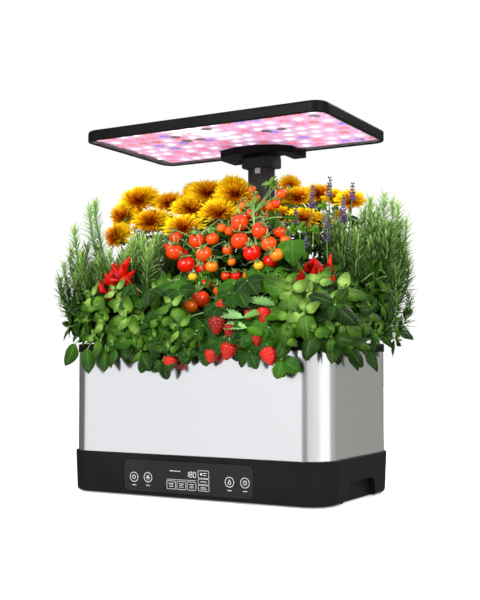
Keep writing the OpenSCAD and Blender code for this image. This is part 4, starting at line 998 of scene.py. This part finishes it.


# ---- materials of the plants ----

# Painted shade along a leaf: full light at the base, darker towards the tip
TIPWARD_SHADE = ((0, (1.0, 0.92, 1.0)), (0.3, (0.72, 0.7, 0.66)), (0.62, (0.42, 0.43, 0.36)), (1, (0.22, 0.24, 0.16)))
leaf_basil = leaf(
    "basil_leaf", ((0, (0.006, 0.032, 0.0003)), (0.35, (0.026, 0.105, 0.0008)), (0.65, (0.085, 0.225, 0.006)),
                   (1, (0.33, 0.54, 0.12))),
    (0.26, 0.45, 0.08), TIPWARD_SHADE, 0.34, vein_share=0.2, relief=0.0007, painted_sheen=0.5)
leaf_pepper = leaf(
    "pepper_leaf", ((0, (0.005, 0.03, 0.0005)), (0.5, (0.026, 0.105, 0.001)), (1, (0.1, 0.26, 0.01))),
    (0.14, 0.3, 0.04), TIPWARD_SHADE, 0.38)
# Its along ramp is painted shade as well, darker towards the tip
leaf_berry = leaf(
    "strawberry_leaf", ((0, (0.005, 0.03, 0.0003)), (0.4, (0.02, 0.095, 0.0008)), (0.7, (0.075, 0.24, 0.006)),
                        (0.9, (0.22, 0.44, 0.13)), (1, (0.3, 0.52, 0.25))),
    (0.16, 0.34, 0.07), ((0, (0.95,) * 3), (0.5, (0.7,) * 3), (1, (0.5,) * 3)), 0.45, veins=9, slant=1.6,
    rim=(0.13, 0.32, 0.05))
# Its along ramp is painted shade as well, darker towards the tip
leaf_tomato = leaf(
    "tomato_leaf", ((0, (0.006, 0.03, 0.0006)), (0.4, (0.026, 0.105, 0.002)), (0.75, (0.09, 0.24, 0.009)),
                    (1, (0.24, 0.42, 0.12))),
    (0.2, 0.34, 0.06), ((0, (1.0,) * 3), (1, (0.6,) * 3)), 0.5, veins=6)
needle = streaked(
    "rosemary_needle", ((0, (0.002, 0.01, 0.001)), (0.45, (0.008, 0.04, 0.003)), (1, (0.07, 0.19, 0.03))),
    ((0, (0.1, 0.28, 0.03)), (0.5, (0.27, 0.5, 0.09)), (1, (0.6, 0.76, 0.34))), rough=0.5, shade=0.25, gloss=0.25)
woody = streaked(
    "stem", ((0, (0.05, 0.11, 0.02)), (1, (0.12, 0.27, 0.05))), ((0, (0.24, 0.38, 0.1)), (1, (0.4, 0.6, 0.2))))
petal = streaked(
    "marigold_petal", ((0, (0.03, 0.001, 0.0005)), (0.35, (0.12, 0.006, 0.001)), (0.65, (0.36, 0.04, 0.001)),
                       (1, (0.62, 0.13, 0.001))),
    ((0, (0.08, 0.003, 0.001)), (0.3, (0.42, 0.045, 0.001)), (0.5, (0.84, 0.3, 0.001)), (0.72, (0.98, 0.64, 0.004)),
     (1, (1.0, 0.86, 0.02))), rough=0.8, shade=0.15, gloss=0.0)
tomato_skin = streaked(
    "tomato_skin", ((0, (0.34, 0.001, 0.0005)), (0.4, (0.68, 0.006, 0.001)), (1, (0.74, 0.03, 0.001))),
    ((0, (0.95, 0.42, 0.01)), (0.5, (0.98, 0.5, 0.012)), (1, (0.95, 0.6, 0.03))), rough=0.2, shade=0.1, relief=0.00003)
chilli_skin = streaked(
    "chilli_skin", ((0, (0.1, 0.01, 0.002)), (0.15, (0.12, 0.001, 0.001)), (1, (0.22, 0.002, 0.001))),
    ((0, (0.4, 0.02, 0.004)), (0.15, (0.56, 0.008, 0.001)), (1, (0.74, 0.012, 0.002))), rough=0.3, shade=0.15,
    relief=0.00003, gloss=0.12)
lavender = streaked(
    "lavender_floret", ((0, (0.04, 0.03, 0.05)), (0.5, (0.07, 0.04, 0.11)), (1, (0.13, 0.07, 0.2))),
    ((0, (0.11, 0.08, 0.15)), (0.5, (0.2, 0.11, 0.33)), (1, (0.4, 0.29, 0.55))), rough=0.7, gloss=0.15)


SEED_ROWS, SEED_COLS = 11.0, 8.0


def berry_skin():
    """Strawberry skin: a red that pales at the shoulder, with pale seeds in dimples."""
    n = Net("strawberry_skin")
    number, across, length, _ = squares(n)
    row = n.mul(length, SEED_ROWS)
    shift = n.mul(n.math("MODULO", n.math("FLOOR", row), 2.0), 0.5)
    col = n.math("FRACT", n.add(n.mul(across, SEED_COLS), shift))
    dx = n.sub(col, 0.5)
    dy = n.sub(n.math("FRACT", row), 0.5)
    far = n.math("SQRT", n.add(n.mul(dx, dx), n.mul(n.mul(dy, dy), 0.6)))
    seed = n.remap(far, 0.07, 0.13, 1, 0, smooth=True)
    pit = n.remap(far, 0.15, 0.42, 1, 0, smooth=True)
    skin = n.mix(number, (0.13, 0.001, 0.0005), (0.5, 0.005, 0.001))
    skin = n.mix(n.remap(length, 0.0, 0.22, 0.35, 0), skin, (0.7, 0.2, 0.03))
    n.bump(n.sub(1.0, pit), 0.0007, 0.9)
    return n.set(Base_Color=n.mix(n.mul(seed, 0.6), skin, (0.6, 0.2, 0.03)), Roughness=n.remap(pit, 0, 1, 0.3, 0.55),
                 Specular_IOR_Level=0.3)


strawberry_skin = berry_skin()


# ---- build the plants ----

SEED_SIDES, SEED_REST = 11, 29
ROSEMARY_LEFT = [
    (-190, -60, 408), (-208, -52, 402), (-228, -60, 372), (-236, -30, 336), (-222, -40, 350), (-150, -50, 362),
    (-118, -44, 352), (-104, -40, 346), (-176, -66, 372), (-200, -80, 330), (-164, -60, 340), (-134, -50, 332),
    (-214, -76, 300), (-234, -64, 280), (-238, -40, 250), (-236, -52, 262), (-230, -20, 300), (-226, -58, 316),
    (-218, -30, 322), (-206, -64, 306), (-224, -44, 286), (-210, -24, 288), (-196, -60, 318), (-198, -30, 330),
    (-234, -30, 270), (-186, -50, 300), (-216, -62, 268), (-202, -50, 276), (-190, -30, 280), (-178, -64, 322),
    (-142, -30, 356), (-128, -56, 344), (-112, -20, 358), (-100, -54, 334), (-122, -34, 338), (-106, -48, 322),
    (-156, -24, 350), (-138, -60, 326), (-237, -72, 318), (-236, -84, 298), (-237, -58, 342), (-234, -46, 322),
    (-238, -74, 284)]
ROSEMARY_RIGHT = [
    (198, 85, 408), (217, 86, 394), (179, 82, 402), (226, 88, 372), (222, 96, 340), (150, 80, 362), (140, 76, 346),
    (162, 70, 330), (188, 72, 372), (208, 70, 350), (226, 100, 316), (228, 92, 268), (224, 60, 300), (214, 56, 330),
    (192, 52, 340), (172, 54, 316), (228, 40, 262), (168, 84, 388), (188, 90, 392), (208, 92, 398), (160, 60, 344),
    (178, 62, 356), (204, 62, 362), at(364, 214, 78), at(352, 226, 66), at(344, 237, 60), at(357, 233, 50),
    at(334, 246, 48)]
SPRAY_WAYS = (0.25, 1.3, 2.9, 3.8, 5.4)      # the turn of each leaflet of a spray

make_camera()
for side, end in ((-1, "left"), (1, "right")):
    rng = np.random.default_rng(SEED_SIDES + side)
    leaves, stems = basil(side, rng)
    leaves.make(f"basil_leaves_{end}", leaf_basil, slot="basil_leaf", replaces=[f"basil_{end}"])
    stems.make(f"basil_stems_{end}", woody, slot="basil_leaf")

    leaves, stems, root = strawberry(side, rng)
    fruit = Heap()
    for px, py, depth, radius, tint in STRAWBERRIES[side]:
        spot = at(px, py, depth)
        up = unit(vec(rng.normal(0, 0.2), 0.25, 1))
        fruit.put(STRAWBERRY, spot + up * radius, -up, about(up, 1), radius, radius, tint, test=False, thick=radius)
        for k in range(9):
            out = about(up, k * 0.7 + rng.normal(0, 0.1))
            stems.put(SEPALS[rng.integers(3)], spot + up * radius * 1.02, unit(out + up * 0.1), up, radius * 0.85,
                      radius * 0.34, rng.integers(8, 14), test=False)
        top = spot + up * radius
        stems.tube(curve(top - up * 0.5, top + up * 16, root + vec(0, -20, 40), root, steps=12), (0.9, 1.2), 8)
    leaves.make(f"strawberry_leaves_{end}", leaf_berry, slot="strawberry_leaf", replaces=[f"strawberry_{end}"])
    stems.make(f"strawberry_stems_{end}", woody, slot="strawberry_leaf")
    fruit.make(f"strawberries_{end}", strawberry_skin, slot="strawberry_leaf")

    leaves, stems, fruit = tomato(side, rng)
    if side > 0:
        leaves.put(HEART_LEAF, at(292, 240, -20), (0.12, -0.2, -1), (0.25, -1, 0.3), 36, 34, 6)
        leaves.put(HEART_LEAF, at(286, 244, -22), (-0.5, -0.2, -0.6), (0.1, -1, 0.4), 22, 20, 8)
        for px, py, depth, size, tint in SPRAYS:
            spot = at(px, py, depth)
            for k, way in enumerate(SPRAY_WAYS):
                along = (math.cos(way), -0.15, math.sin(way) * 0.42)
                leaves.put(TOMATO_LEAFLETS[k % 2], spot, along, (0.1, -0.75, 0.65), size * rng.uniform(0.85, 1.1),
                           size * 0.8, tint + k % 3 - 1)
            stems.tube([spot - vec(0, 0, 26), spot - vec(0, 0, 9), spot], (0.8, 0.7, 0.6), 8, sides=6)
    leaves.make(f"tomato_leaves_{end}", leaf_tomato, slot="tomato_plant", replaces=[f"tomato_{end}"])
    stems.make(f"tomato_stems_{end}", woody, slot="tomato_plant")
    fruit.make(f"tomatoes_{end}", tomato_skin, slot="tomato_plant")

    fruit, stems = Heap(), Heap()
    foot = pod(OUTER[side], 1)
    for px, py, depth in CHILLIES[side]:
        spot = at(px, py, depth)
        for k in range(2):
            lean = unit(vec(0, -0.3, 1) + rng.normal(0, 0.55, 3))
            size = rng.uniform(22, 32)
            fruit.put(CHILLI, spot - lean * size * 0.4, lean, about(lean, k), size, rng.uniform(4.2, 5.4),
                      rng.integers(2, 16), test=False, thick=6)
        middle = foot * [0.5, 0.5, 1] + spot * FLAT * 0.5 + vec(0, 0, 60)
        stems.tube(curve(foot, middle, spot), (1.8, 1.0), 4)
    fruit.make(f"chillies_{end}", chilli_skin, slot="chilli_plant")
    stems.make(f"chilli_stems_{end}", woody, slot="chilli_plant")

rng = np.random.default_rng(SEED_REST)
leaves, stems = pepper(rng)
leaves.make("chilli_leaves_right", leaf_pepper, slot="chilli_plant", replaces=["chilli_right"])
stems.make("chilli_branches_right", woody, slot="chilli_plant")

for end, root, tips, count, low, high in (
        ("left", pod(0, 1), ROSEMARY_LEFT, 70, (-230, -50, 256), (-100, 26, 366)),
        ("right", pod(3, 2), ROSEMARY_RIGHT, 54, (104, 40, 280), (220, 122, 380))):
    needles, stems = rosemary(rng, root, tips, count, low, high)
    needles.make(f"rosemary_needles_{end}", needle, slot="rosemary_leaf", replaces=[f"rosemary_{end}"])
    stems.make(f"rosemary_stems_{end}", woody, slot="rosemary_leaf")

for i, (petals, stems, leaves) in marigolds(rng).items():
    end = ("left", "centre", "right")[i]
    petals.make(f"marigold_petals_{end}", petal, slot="marigold_flower", replaces=[f"marigold_{end}"])
    stems.make(f"marigold_stems_{end}", woody, slot="marigold_flower")
    leaves.make(f"marigold_leaves_{end}", leaf_tomato, slot="marigold_flower")
florets, stems = spikes(rng)
florets.make("lavender_spikes", lavender, slot="marigold_flower")
stems.make("lavender_stems", woody, slot="marigold_flower")


# ---- the printed panel ----

WALL_FOOT = vec(0, -113.8, 56.2)
LEAN = math.radians(2.68)
WALL_IN = vec(0, math.cos(LEAN), math.sin(LEAN))
WALL_UP = vec(0, -math.sin(LEAN), math.cos(LEAN))
PANEL_DOWN, PANEL_SINK = 28.0, 0.4
PRINT_HIGH, PRINT_DEEP = 0.06, 0.02      # how far the ink stands out of the overlay and reaches into it


class Print:
    """Raised ink on the overlay: flat outlines given in millimetres from its centre, each a thin closed plate."""

    def __init__(self):
        self.points, self.faces = [], []

    def plate(self, outline):
        n, first = len(outline), len(self.points)
        for height in (PRINT_HIGH, -PRINT_DEEP):
            for u, w in outline:
                inward, upward = WALL_IN * (PANEL_SINK - height), WALL_UP * (w - PANEL_DOWN)
                self.points.append(WALL_FOOT + inward + upward + vec(u, 0, 0))
        self.faces.append([first + k for k in range(n)])
        self.faces.append([first + n + k for k in reversed(range(n))])
        for k in range(n):
            j = (k + 1) % n
            self.faces.append([first + j, first + k, first + n + k, first + n + j])

    def line(self, a, b, wide=0.5):
        a, b = np.array(a, float), np.array(b, float)
        d = unit(b - a) * wide / 2
        s = np.array([-d[1], d[0]])
        self.plate([a - d - s, b + d - s, b + d + s, a - d + s])

    def bar(self, start, end, w, wide):
        """A level line."""
        self.line((start, w), (end, w), wide)

    def arc(self, centre, radius, start=0, end=360, wide=0.5, steps=36):
        a = np.radians(np.linspace(start, end, steps + 1))
        inner, outer = (np.array(centre) + r * np.stack([np.cos(a), np.sin(a)], 1)
                        for r in (radius - wide / 2, radius + wide / 2))
        for k in range(steps):
            self.plate([inner[k], inner[k + 1], outer[k + 1], outer[k]])

    def box(self, u, w, wide, high, corner=1.2, edge=0.4):
        """The outline of a box with round corners."""
        x, y = wide / 2 - corner, high / 2 - corner
        for sx, sy, a in ((1, 1, 0), (-1, 1, 90), (-1, -1, 180), (1, -1, 270)):
            self.arc((u + sx * x, w + sy * y), corner, a, a + 90, edge, 5)
        for sy in (1, -1):
            self.bar(u - x, u + x, w + sy * high / 2, edge)
        for sx in (-1, 1):
            self.line((u + sx * wide / 2, w - y), (u + sx * wide / 2, w + y), edge)

    def digit(self, u, w, number, size=3.4, wide=0.62, gap=0.5):
        """A digit of seven bars with a gap at the ends of each."""
        x, y = size / 2, size
        bars = {"a": ((-x, y), (x, y)), "b": ((x, 0), (x, y)), "c": ((x, -y), (x, 0)), "d": ((-x, -y), (x, -y)),
                "e": ((-x, -y), (-x, 0)), "f": ((-x, 0), (-x, y)), "g": ((-x, 0), (x, 0))}
        for k in {"0": "abcdef", "1": "bc", "8": "abcdefg"}[number]:
            start, end = (np.array(point) + (u, w) for point in bars[k])
            inward = unit(end - start) * gap
            self.line(start + inward, end - inward, wide)

    def disc(self, u, w, r, steps=14):
        a = np.radians(np.linspace(0, 360, steps, endpoint=False))
        self.plate([(u + r * math.cos(k), w + r * math.sin(k)) for k in a][::-1])

    def make(self, name, material, slot):
        mesh = bpy.data.meshes.new(name)
        mesh.from_pydata([tuple(p * MM) for p in self.points], [], self.faces)
        add_piece(name, mesh, material)


# The middle of each key, across and up from the middle of the overlay
POWER_KEY, SUN_KEY, DROP_KEY, CLOCK_KEY = (-82.3, -2.4), (-60, -1.9), (64.2, -1.3), (86.6, -1.1)
KEY_RADIUS = 6.2


def panel_print():
    """The keys' rings and pictograms, the number, and plain bars where small words stand."""
    p = Print()
    for u, w in (POWER_KEY, SUN_KEY, DROP_KEY, CLOCK_KEY):
        p.arc((u, w), KEY_RADIUS, wide=0.6)
        for k in (-1.6, 1.6):
            p.bar(u + k - 1.1, u + k + 1.1, w - 10.6, 0.7)
    u, w = POWER_KEY
    p.arc((u, w), 2.4, 120, 420, 0.6, 16)
    p.line((u, w + 0.6), (u, w + 3), 0.6)
    u, w = SUN_KEY
    p.disc(u, w, 1.3)
    for a in range(0, 360, 45):
        c, s = math.cos(math.radians(a)), math.sin(math.radians(a))
        p.line((u + 2.2 * c, w + 2.2 * s), (u + 3.4 * c, w + 3.4 * s), 0.45)
    u, w = DROP_KEY
    p.arc((u, w - 0.8), 2.0, 180, 360, 0.6, 12)
    for k in (-2.0, 2.0):
        p.line((u + k, w - 0.6), (u, w + 3), 0.6)
    u, w = CLOCK_KEY
    p.arc((u, w), 2.7, steps=18)
    p.line((u, w), (u, w + 1.9))
    p.line((u, w), (u + 1.4, w - 0.6))
    for k, wide in enumerate((2.4, 1.2, 2.8, 1.6, 2.2)):
        p.bar(-25 + k * 3.3, -25 + k * 3.3 + wide, 8.5, 0.8)
    for k, number in enumerate("180"):
        p.digit(1.4 + k * 5.6, 5.0, number)
    p.line((-30, -2.6), (14.6, -2.4), 0.35)
    for u in (-23.6, -7.9, 7.7):
        p.box(u, -9.7, 13.4, 10.4)
        for half, w, wide in ((3.6, -7.6, 0.55), (2.6, -9.8, 0.45), (3.2, -11.8, 0.45)):
            p.bar(u - half, u + half, w, wide)
    p.box(26, 6.2, 16, 9.6)
    p.disc(22.6, 6.4, 1.4)
    p.bar(25.4, 31, 7.6, 0.5)
    p.bar(25.4, 29.6, 5.0, 0.5)
    p.box(26, -3.2, 16, 7)
    p.bar(21.4, 30.4, -3.2, 0.6)
    p.box(26, -11.4, 16, 7)
    p.bar(21.4, 28.4, -10.6, 0.5)
    p.bar(21.4, 30.4, -12.4, 0.5)
    n = Net("panel_ink_painted_glow")
    ink = n.mix(n.remap(n.noise(n.place(), 220, 2), 0.3, 0.7), (0.5, 0.51, 0.52), (0.7, 0.71, 0.72))
    # Painted light: the printed ink glows faintly in its own colour, though it is no lamp
    n.set(Base_Color=ink, Emission_Color=ink, Roughness=0.5, Emission_Strength=0.15)
    p.make("panel_print", n.material, "panel_overlay")


panel_print()

# ---- materials of the hard parts ----

black = plastic("black_plastic", (0.0055, 0.0055, 0.0058), 0.42, gloss=0.06)
lamp_black = plastic("lamp_plastic", (0.003, 0.003, 0.003), 0.42, gloss=0.04)
# Painted light: the post is the same black plastic, made lighter to make up for the shadow the lamp casts on it
post_black_painted_light = plastic("post_plastic_painted_light", (0.02, 0.02, 0.02), 0.42, gloss=0.16)
dark = plastic("dark_plastic", (0.006, 0.006, 0.0065), 0.5, grain=1800, gloss=0.14)
overlay = plastic("panel_overlay", (0.013, 0.013, 0.0142), 0.3, grain=5200, depth=0.00001, spread=0.06, gloss=0.07)
board = plastic("circuit_board", (0.02, 0.13, 0.05), 0.45, spread=0.3)
steel = brushed("brushed_steel", (0.83, 0.835, 0.85), 0.17)
white = plastic("tank_plastic", (0.72, 0.72, 0.7), 0.4, spread=0.05)
rubber = plastic("foot_rubber", (0.42, 0.41, 0.38), 0.75, grain=1400, depth=0.0001)
bright = brushed("bright_metal", (0.72, 0.72, 0.72), 0.25, lines=(900, 900, 40))
red = plastic("float_red", (0.55, 0.05, 0.03), 0.4)
ferrite = plastic("rotor_ferrite", (0.05, 0.05, 0.055), 0.55)
ceramic = plastic("shaft_ceramic", (0.8, 0.8, 0.78), 0.25, spread=0.03)
button = plastic("button_grey", (0.42, 0.42, 0.4), 0.4)


def sponge_material():
    n = Net("sponge")
    cells = n.node("TexVoronoi", feature="F1")
    n.wire(cells.inputs["Vector"], n.place())
    cells.inputs["Scale"].default_value = 700
    n.bump(cells.outputs[0], 0.0008)
    tone = n.remap(n.noise(n.place(), 90, 4), 0.3, 0.7)
    return n.set(Base_Color=n.mix(tone, (0.02, 0.011, 0.006), (0.09, 0.05, 0.025)), Roughness=0.95)


def lens_material():
    n = Net("lens_clear")
    haze = n.noise(n.place(), 60, 3)
    return n.set(Base_Color=n.mix(haze, (0.9, 0.82, 0.9), (1.0, 0.95, 1.0)),
                 Roughness=n.remap(haze, 0.3, 0.7, 0.08, 0.16), Alpha=0.12)


# The lamp's grid of lights, as the frame has it
LED_X, LED_Y, LED_BACK = 21.0, 25.5, 15.0
LED_COLS, LED_ROWS = 17, 8


def light_grid(n):
    """For a point of the board: how far it is from its nearest light in millimetres, a number from 0 to 1 that is the
    same all round that light, and the point's place in millimetres."""
    x, y, _ = n.split(n.place((1 / MM,) * 3))
    row = n.add(n.div(n.sub(y, LED_BACK), LED_Y), LED_ROWS / 2)
    row_number = n.math("FLOOR", row)
    stagger = n.mul(n.sub(n.math("MODULO", row_number, 2.0), 0.5), LED_X / 2)
    col = n.add(n.div(n.sub(x, stagger), LED_X), LED_COLS / 2)
    col_number = n.math("FLOOR", col)
    dx = n.mul(n.sub(n.sub(col, col_number), 0.5), LED_X)
    dy = n.mul(n.sub(n.sub(row, row_number), 0.5), LED_Y)
    pair = n.node("CombineXYZ")
    n.wire(pair.inputs[0], col_number)
    n.wire(pair.inputs[1], row_number)
    dice = n.node("TexWhiteNoise", noise_dimensions="2D")
    n.wire(dice.inputs["Vector"], pair.outputs[0])
    return n.length(dx, dy), dice.outputs[0], x, y


# The colours of the lights, each from its number on
LIGHTS = ((0.0, (1.0, 0.84, 0.95)), (0.48, (0.72, 0.05, 0.13)), (0.64, (1.0, 0.84, 0.95)), (0.7, (0.1, 0.03, 0.5)),
          (0.82, (0.9, 0.24, 0.42)), (0.92, (0.5, 0.01, 0.015)))


POOL, HALO = (5.0, 7.4), (6.0, 13.0)     # the distances over which a light's pool and its halo fade
# On the board in millimetres: pools of glare and the dark heads of its screws, each across, deep and radius
GLARE = ((-56, -82, 20), (-36, -68, 22), (-22, -46, 21), (-6, -20, 17), (2, 6, 12))
GLARE_STRETCH = 1.6
MARGIN_X, MARGIN_EDGE = 174.0, 1.5      # the dark margin at both ends of the board
DARK = (0.02, 0.012, 0.015)
SCREW_HEADS = ((-68, -38, 7.5), (-67, -8, 8.0), (-45, -8, 7.5), (-3, -59, 7.5), (62, -9, 7.5), (86, -8, 7.0),
               (157, -54, 7.5), (155, 105, 5.5), (-62, 81, 5.0))


def spot_distance(n, x, y, u, v, stretch):
    """The distance from a spot of the board in millimetres, for a patch that is longer across than it is deep."""
    return n.length(n.div(n.sub(x, float(u)), stretch), n.sub(y, float(v)))


def board_material():
    """The lit board: a pink field with a round pool of light about each chip on its lower face, and a bare metal back
    that the vents of the lamp show."""
    n = Net("led_board_lit")
    heights = [v.co.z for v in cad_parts["led_board"].data.vertices]
    middle, half = (max(heights) + min(heights)) / 2, (max(heights) - min(heights)) / 2
    _, _, height = n.split(n.place())
    under = n.remap(height, middle, middle + half * 0.2, 1, 0)
    bare = n.mix(n.noise(n.place(), 200, 3), (0.2, 0.21, 0.21), (0.34, 0.35, 0.35))
    far, pick, x, y = light_grid(n)
    colour = n.ramp(pick, LIGHTS, "CONSTANT")
    pool = n.remap(far, *POOL, 1, 0, smooth=True)
    halo = n.remap(far, *HALO, 0.35, 0, smooth=True)
    field = n.mix(n.noise(n.place(), 30, 2), (0.46, 0.2, 0.4), (0.68, 0.38, 0.6))
    lit = n.mix(n.math("MAXIMUM", pool, halo), field, colour)
    for u, v, reach in GLARE:
        near = n.remap(spot_distance(n, x, y, u, v, GLARE_STRETCH), reach * 0.35, reach, 0.9, 0, smooth=True)
        lit = n.mix(near, lit, (1, 1, 1))
    for u, v, reach in SCREW_HEADS:
        lit = n.mix(n.remap(spot_distance(n, x, y, u, v, 1.0), reach, reach + 0.8, 1, 0), lit, DARK)
    margin = n.remap(n.math("ABSOLUTE", x), MARGIN_X, MARGIN_X + MARGIN_EDGE, 0, 1)
    lit = n.mix(margin, lit, DARK)
    front = n.mix(0.2, lit, (0.5, 0.4, 0.46))
    return n.set(Base_Color=n.mix(under, bare, front), Emission_Color=n.mix(under, (0, 0, 0), lit), Roughness=0.5,
                 Emission_Strength=0.95)


def chip_material():
    n = Net("led_chip_lit")
    far, pick, _, _ = light_grid(n)
    lit = n.ramp(pick, LIGHTS, "CONSTANT")
    return n.set(Base_Color=n.mix(n.remap(far, 0, 4), (1.0, 0.95, 0.9), lit), Emission_Color=lit, Roughness=0.3,
                 Emission_Strength=1.5)


DRESS = {
    black: "base_housing base_plate top_rim power_inlet", lamp_black: "lamp_bracket lamp_housing",
    post_black_painted_light: "outer_post middle_tube inner_tube post_collar",
    dark: "grow_deck refill_flap lower_guide upper_guide pump_housing pump_cover pump_riser "
          + " ".join(f"basket_{r}_{k}" for r in ("front", "middle", "back") for k in range(1, 5)),
    overlay: "control_panel", board: "control_board lamp_driver", steel: "steel_sleeve",
    white: "water_tank float_guide", rubber: "rubber_feet",
    bright: "base_screws lamp_screws refill_pin button_spring", red: "water_float", ferrite: "pump_rotor",
    ceramic: "pump_shaft", button: "release_button", lens_material(): "lens_panel", board_material(): "led_board",
    chip_material(): "led_chips", sponge_material(): "grow_sponges",
}
for material, names in DRESS.items():
    for name in names.split():
        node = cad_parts[name]
        if not node.material_slots:
            node.data.materials.append(material)
        for place in node.material_slots:
            place.material = material


# ---- floor, world and lamps ----

FLOOR_HALF, FLOOR_DOWN = 6.0, 0.0002
PALE_NEAR, PALE_FAR = 0.35, 1.2      # over this distance the floor fades into the white of the background


def make_floor():
    mesh = bpy.data.meshes.new("floor")
    s = FLOOR_HALF
    mesh.from_pydata([(-s, -s, 0), (s, -s, 0), (s, s, 0), (-s, s, 0)], [], [(0, 1, 2, 3)])
    n = Net("floor_pale")
    path = n.node("LightPath")
    across, deep, _ = n.split(n.place())
    fade = n.remap(n.length(across, deep), PALE_NEAR, PALE_FAR, 0.42, 1.0, smooth=True)
    n.set(Base_Color=n.mix(n.noise(n.place(), 3, 2), (0.86, 0.86, 0.86), (0.9, 0.9, 0.9)), Roughness=0.9,
          Emission_Color=(1, 1, 1, 1), Emission_Strength=n.mul(path.outputs["Is Camera Ray"], fade))
    both = n.node("MixShader")
    n.wire(both.inputs[0], path.outputs["Is Glossy Ray"])
    n.wire(both.inputs[1], n.shader.outputs[0])
    n.wire(both.inputs[2], n.node("BsdfTransparent").outputs[0])
    n.wire(n.tree.nodes["Material Output"].inputs["Surface"], both.outputs[0])
    mesh.materials.append(n.material)
    ob = link("floor", mesh)
    ob.location = (0, 0, -FLOOR_DOWN)


# What the metal mirrors at each bearing from the front, in degrees towards the right
STUDIO = [(-180, 0.12), (-66, 0.16), (-58, 0.92), (-12, 1.0), (-7, 0.34), (8, 0.3), (16, 0.76), (60, 0.92), (70, 1.22),
          (108, 1.22), (117, 0.53), (142, 0.45), (150, 0.36), (180, 0.3)]
WARM_FROM = 112              # from this bearing on the room is a little warmer


def make_world():
    world = bpy.data.worlds.new("studio")
    bpy.context.scene.world = world
    n = Net("studio", world)
    ground = n.tree.nodes["Background"]
    x, y, z = n.split(n.node("TexCoord").outputs["Generated"])
    bearing = n.math("ARCTAN2", x, n.mul(y, -1.0))
    share = n.add(n.div(bearing, 2 * math.pi), 0.5)
    ring = n.ramp(share, [((d + 180) / 360, (v, v, v * (0.94 if d > WARM_FROM else 1.01))) for d, v in STUDIO])
    level = n.remap(n.math("ABSOLUTE", z), 0.25, 0.6, 0, 1, smooth=True)
    mirrored = n.mix(level, ring, (0.8, 0.8, 0.81))
    path = n.node("LightPath")
    soft = n.mix(path.outputs["Is Glossy Ray"], (0.45, 0.45, 0.455), mirrored)
    seen = n.math("MAXIMUM", path.outputs["Is Camera Ray"], path.outputs["Is Transmission Ray"])
    n.wire(ground.inputs["Color"], n.mix(seen, soft, (1, 1, 1)))


LAMP_AIM = (0, 0, 0.3)


def make_lamp(name, where, size, power):
    data = bpy.data.lights.new(name, "AREA")
    data.shape = "RECTANGLE"
    data.size, data.size_y = size
    data.energy = power
    ob = link(name, data)
    ob.location = where
    ob.rotation_euler = (Vector(LAMP_AIM) - Vector(where)).to_track_quat("-Z", "Y").to_euler()


make_floor()
make_world()
make_lamp("key", (-0.3, -1.95, 1.1), (0.8, 0.6), 57)
make_lamp("fill", (1.7, -0.9, 1.2), (0.9, 0.9), 30)
make_lamp("back", (0.3, 1.6, 1.6), (1.4, 0.9), 30)
bpy.context.scene.view_settings.view_transform = "Standard"
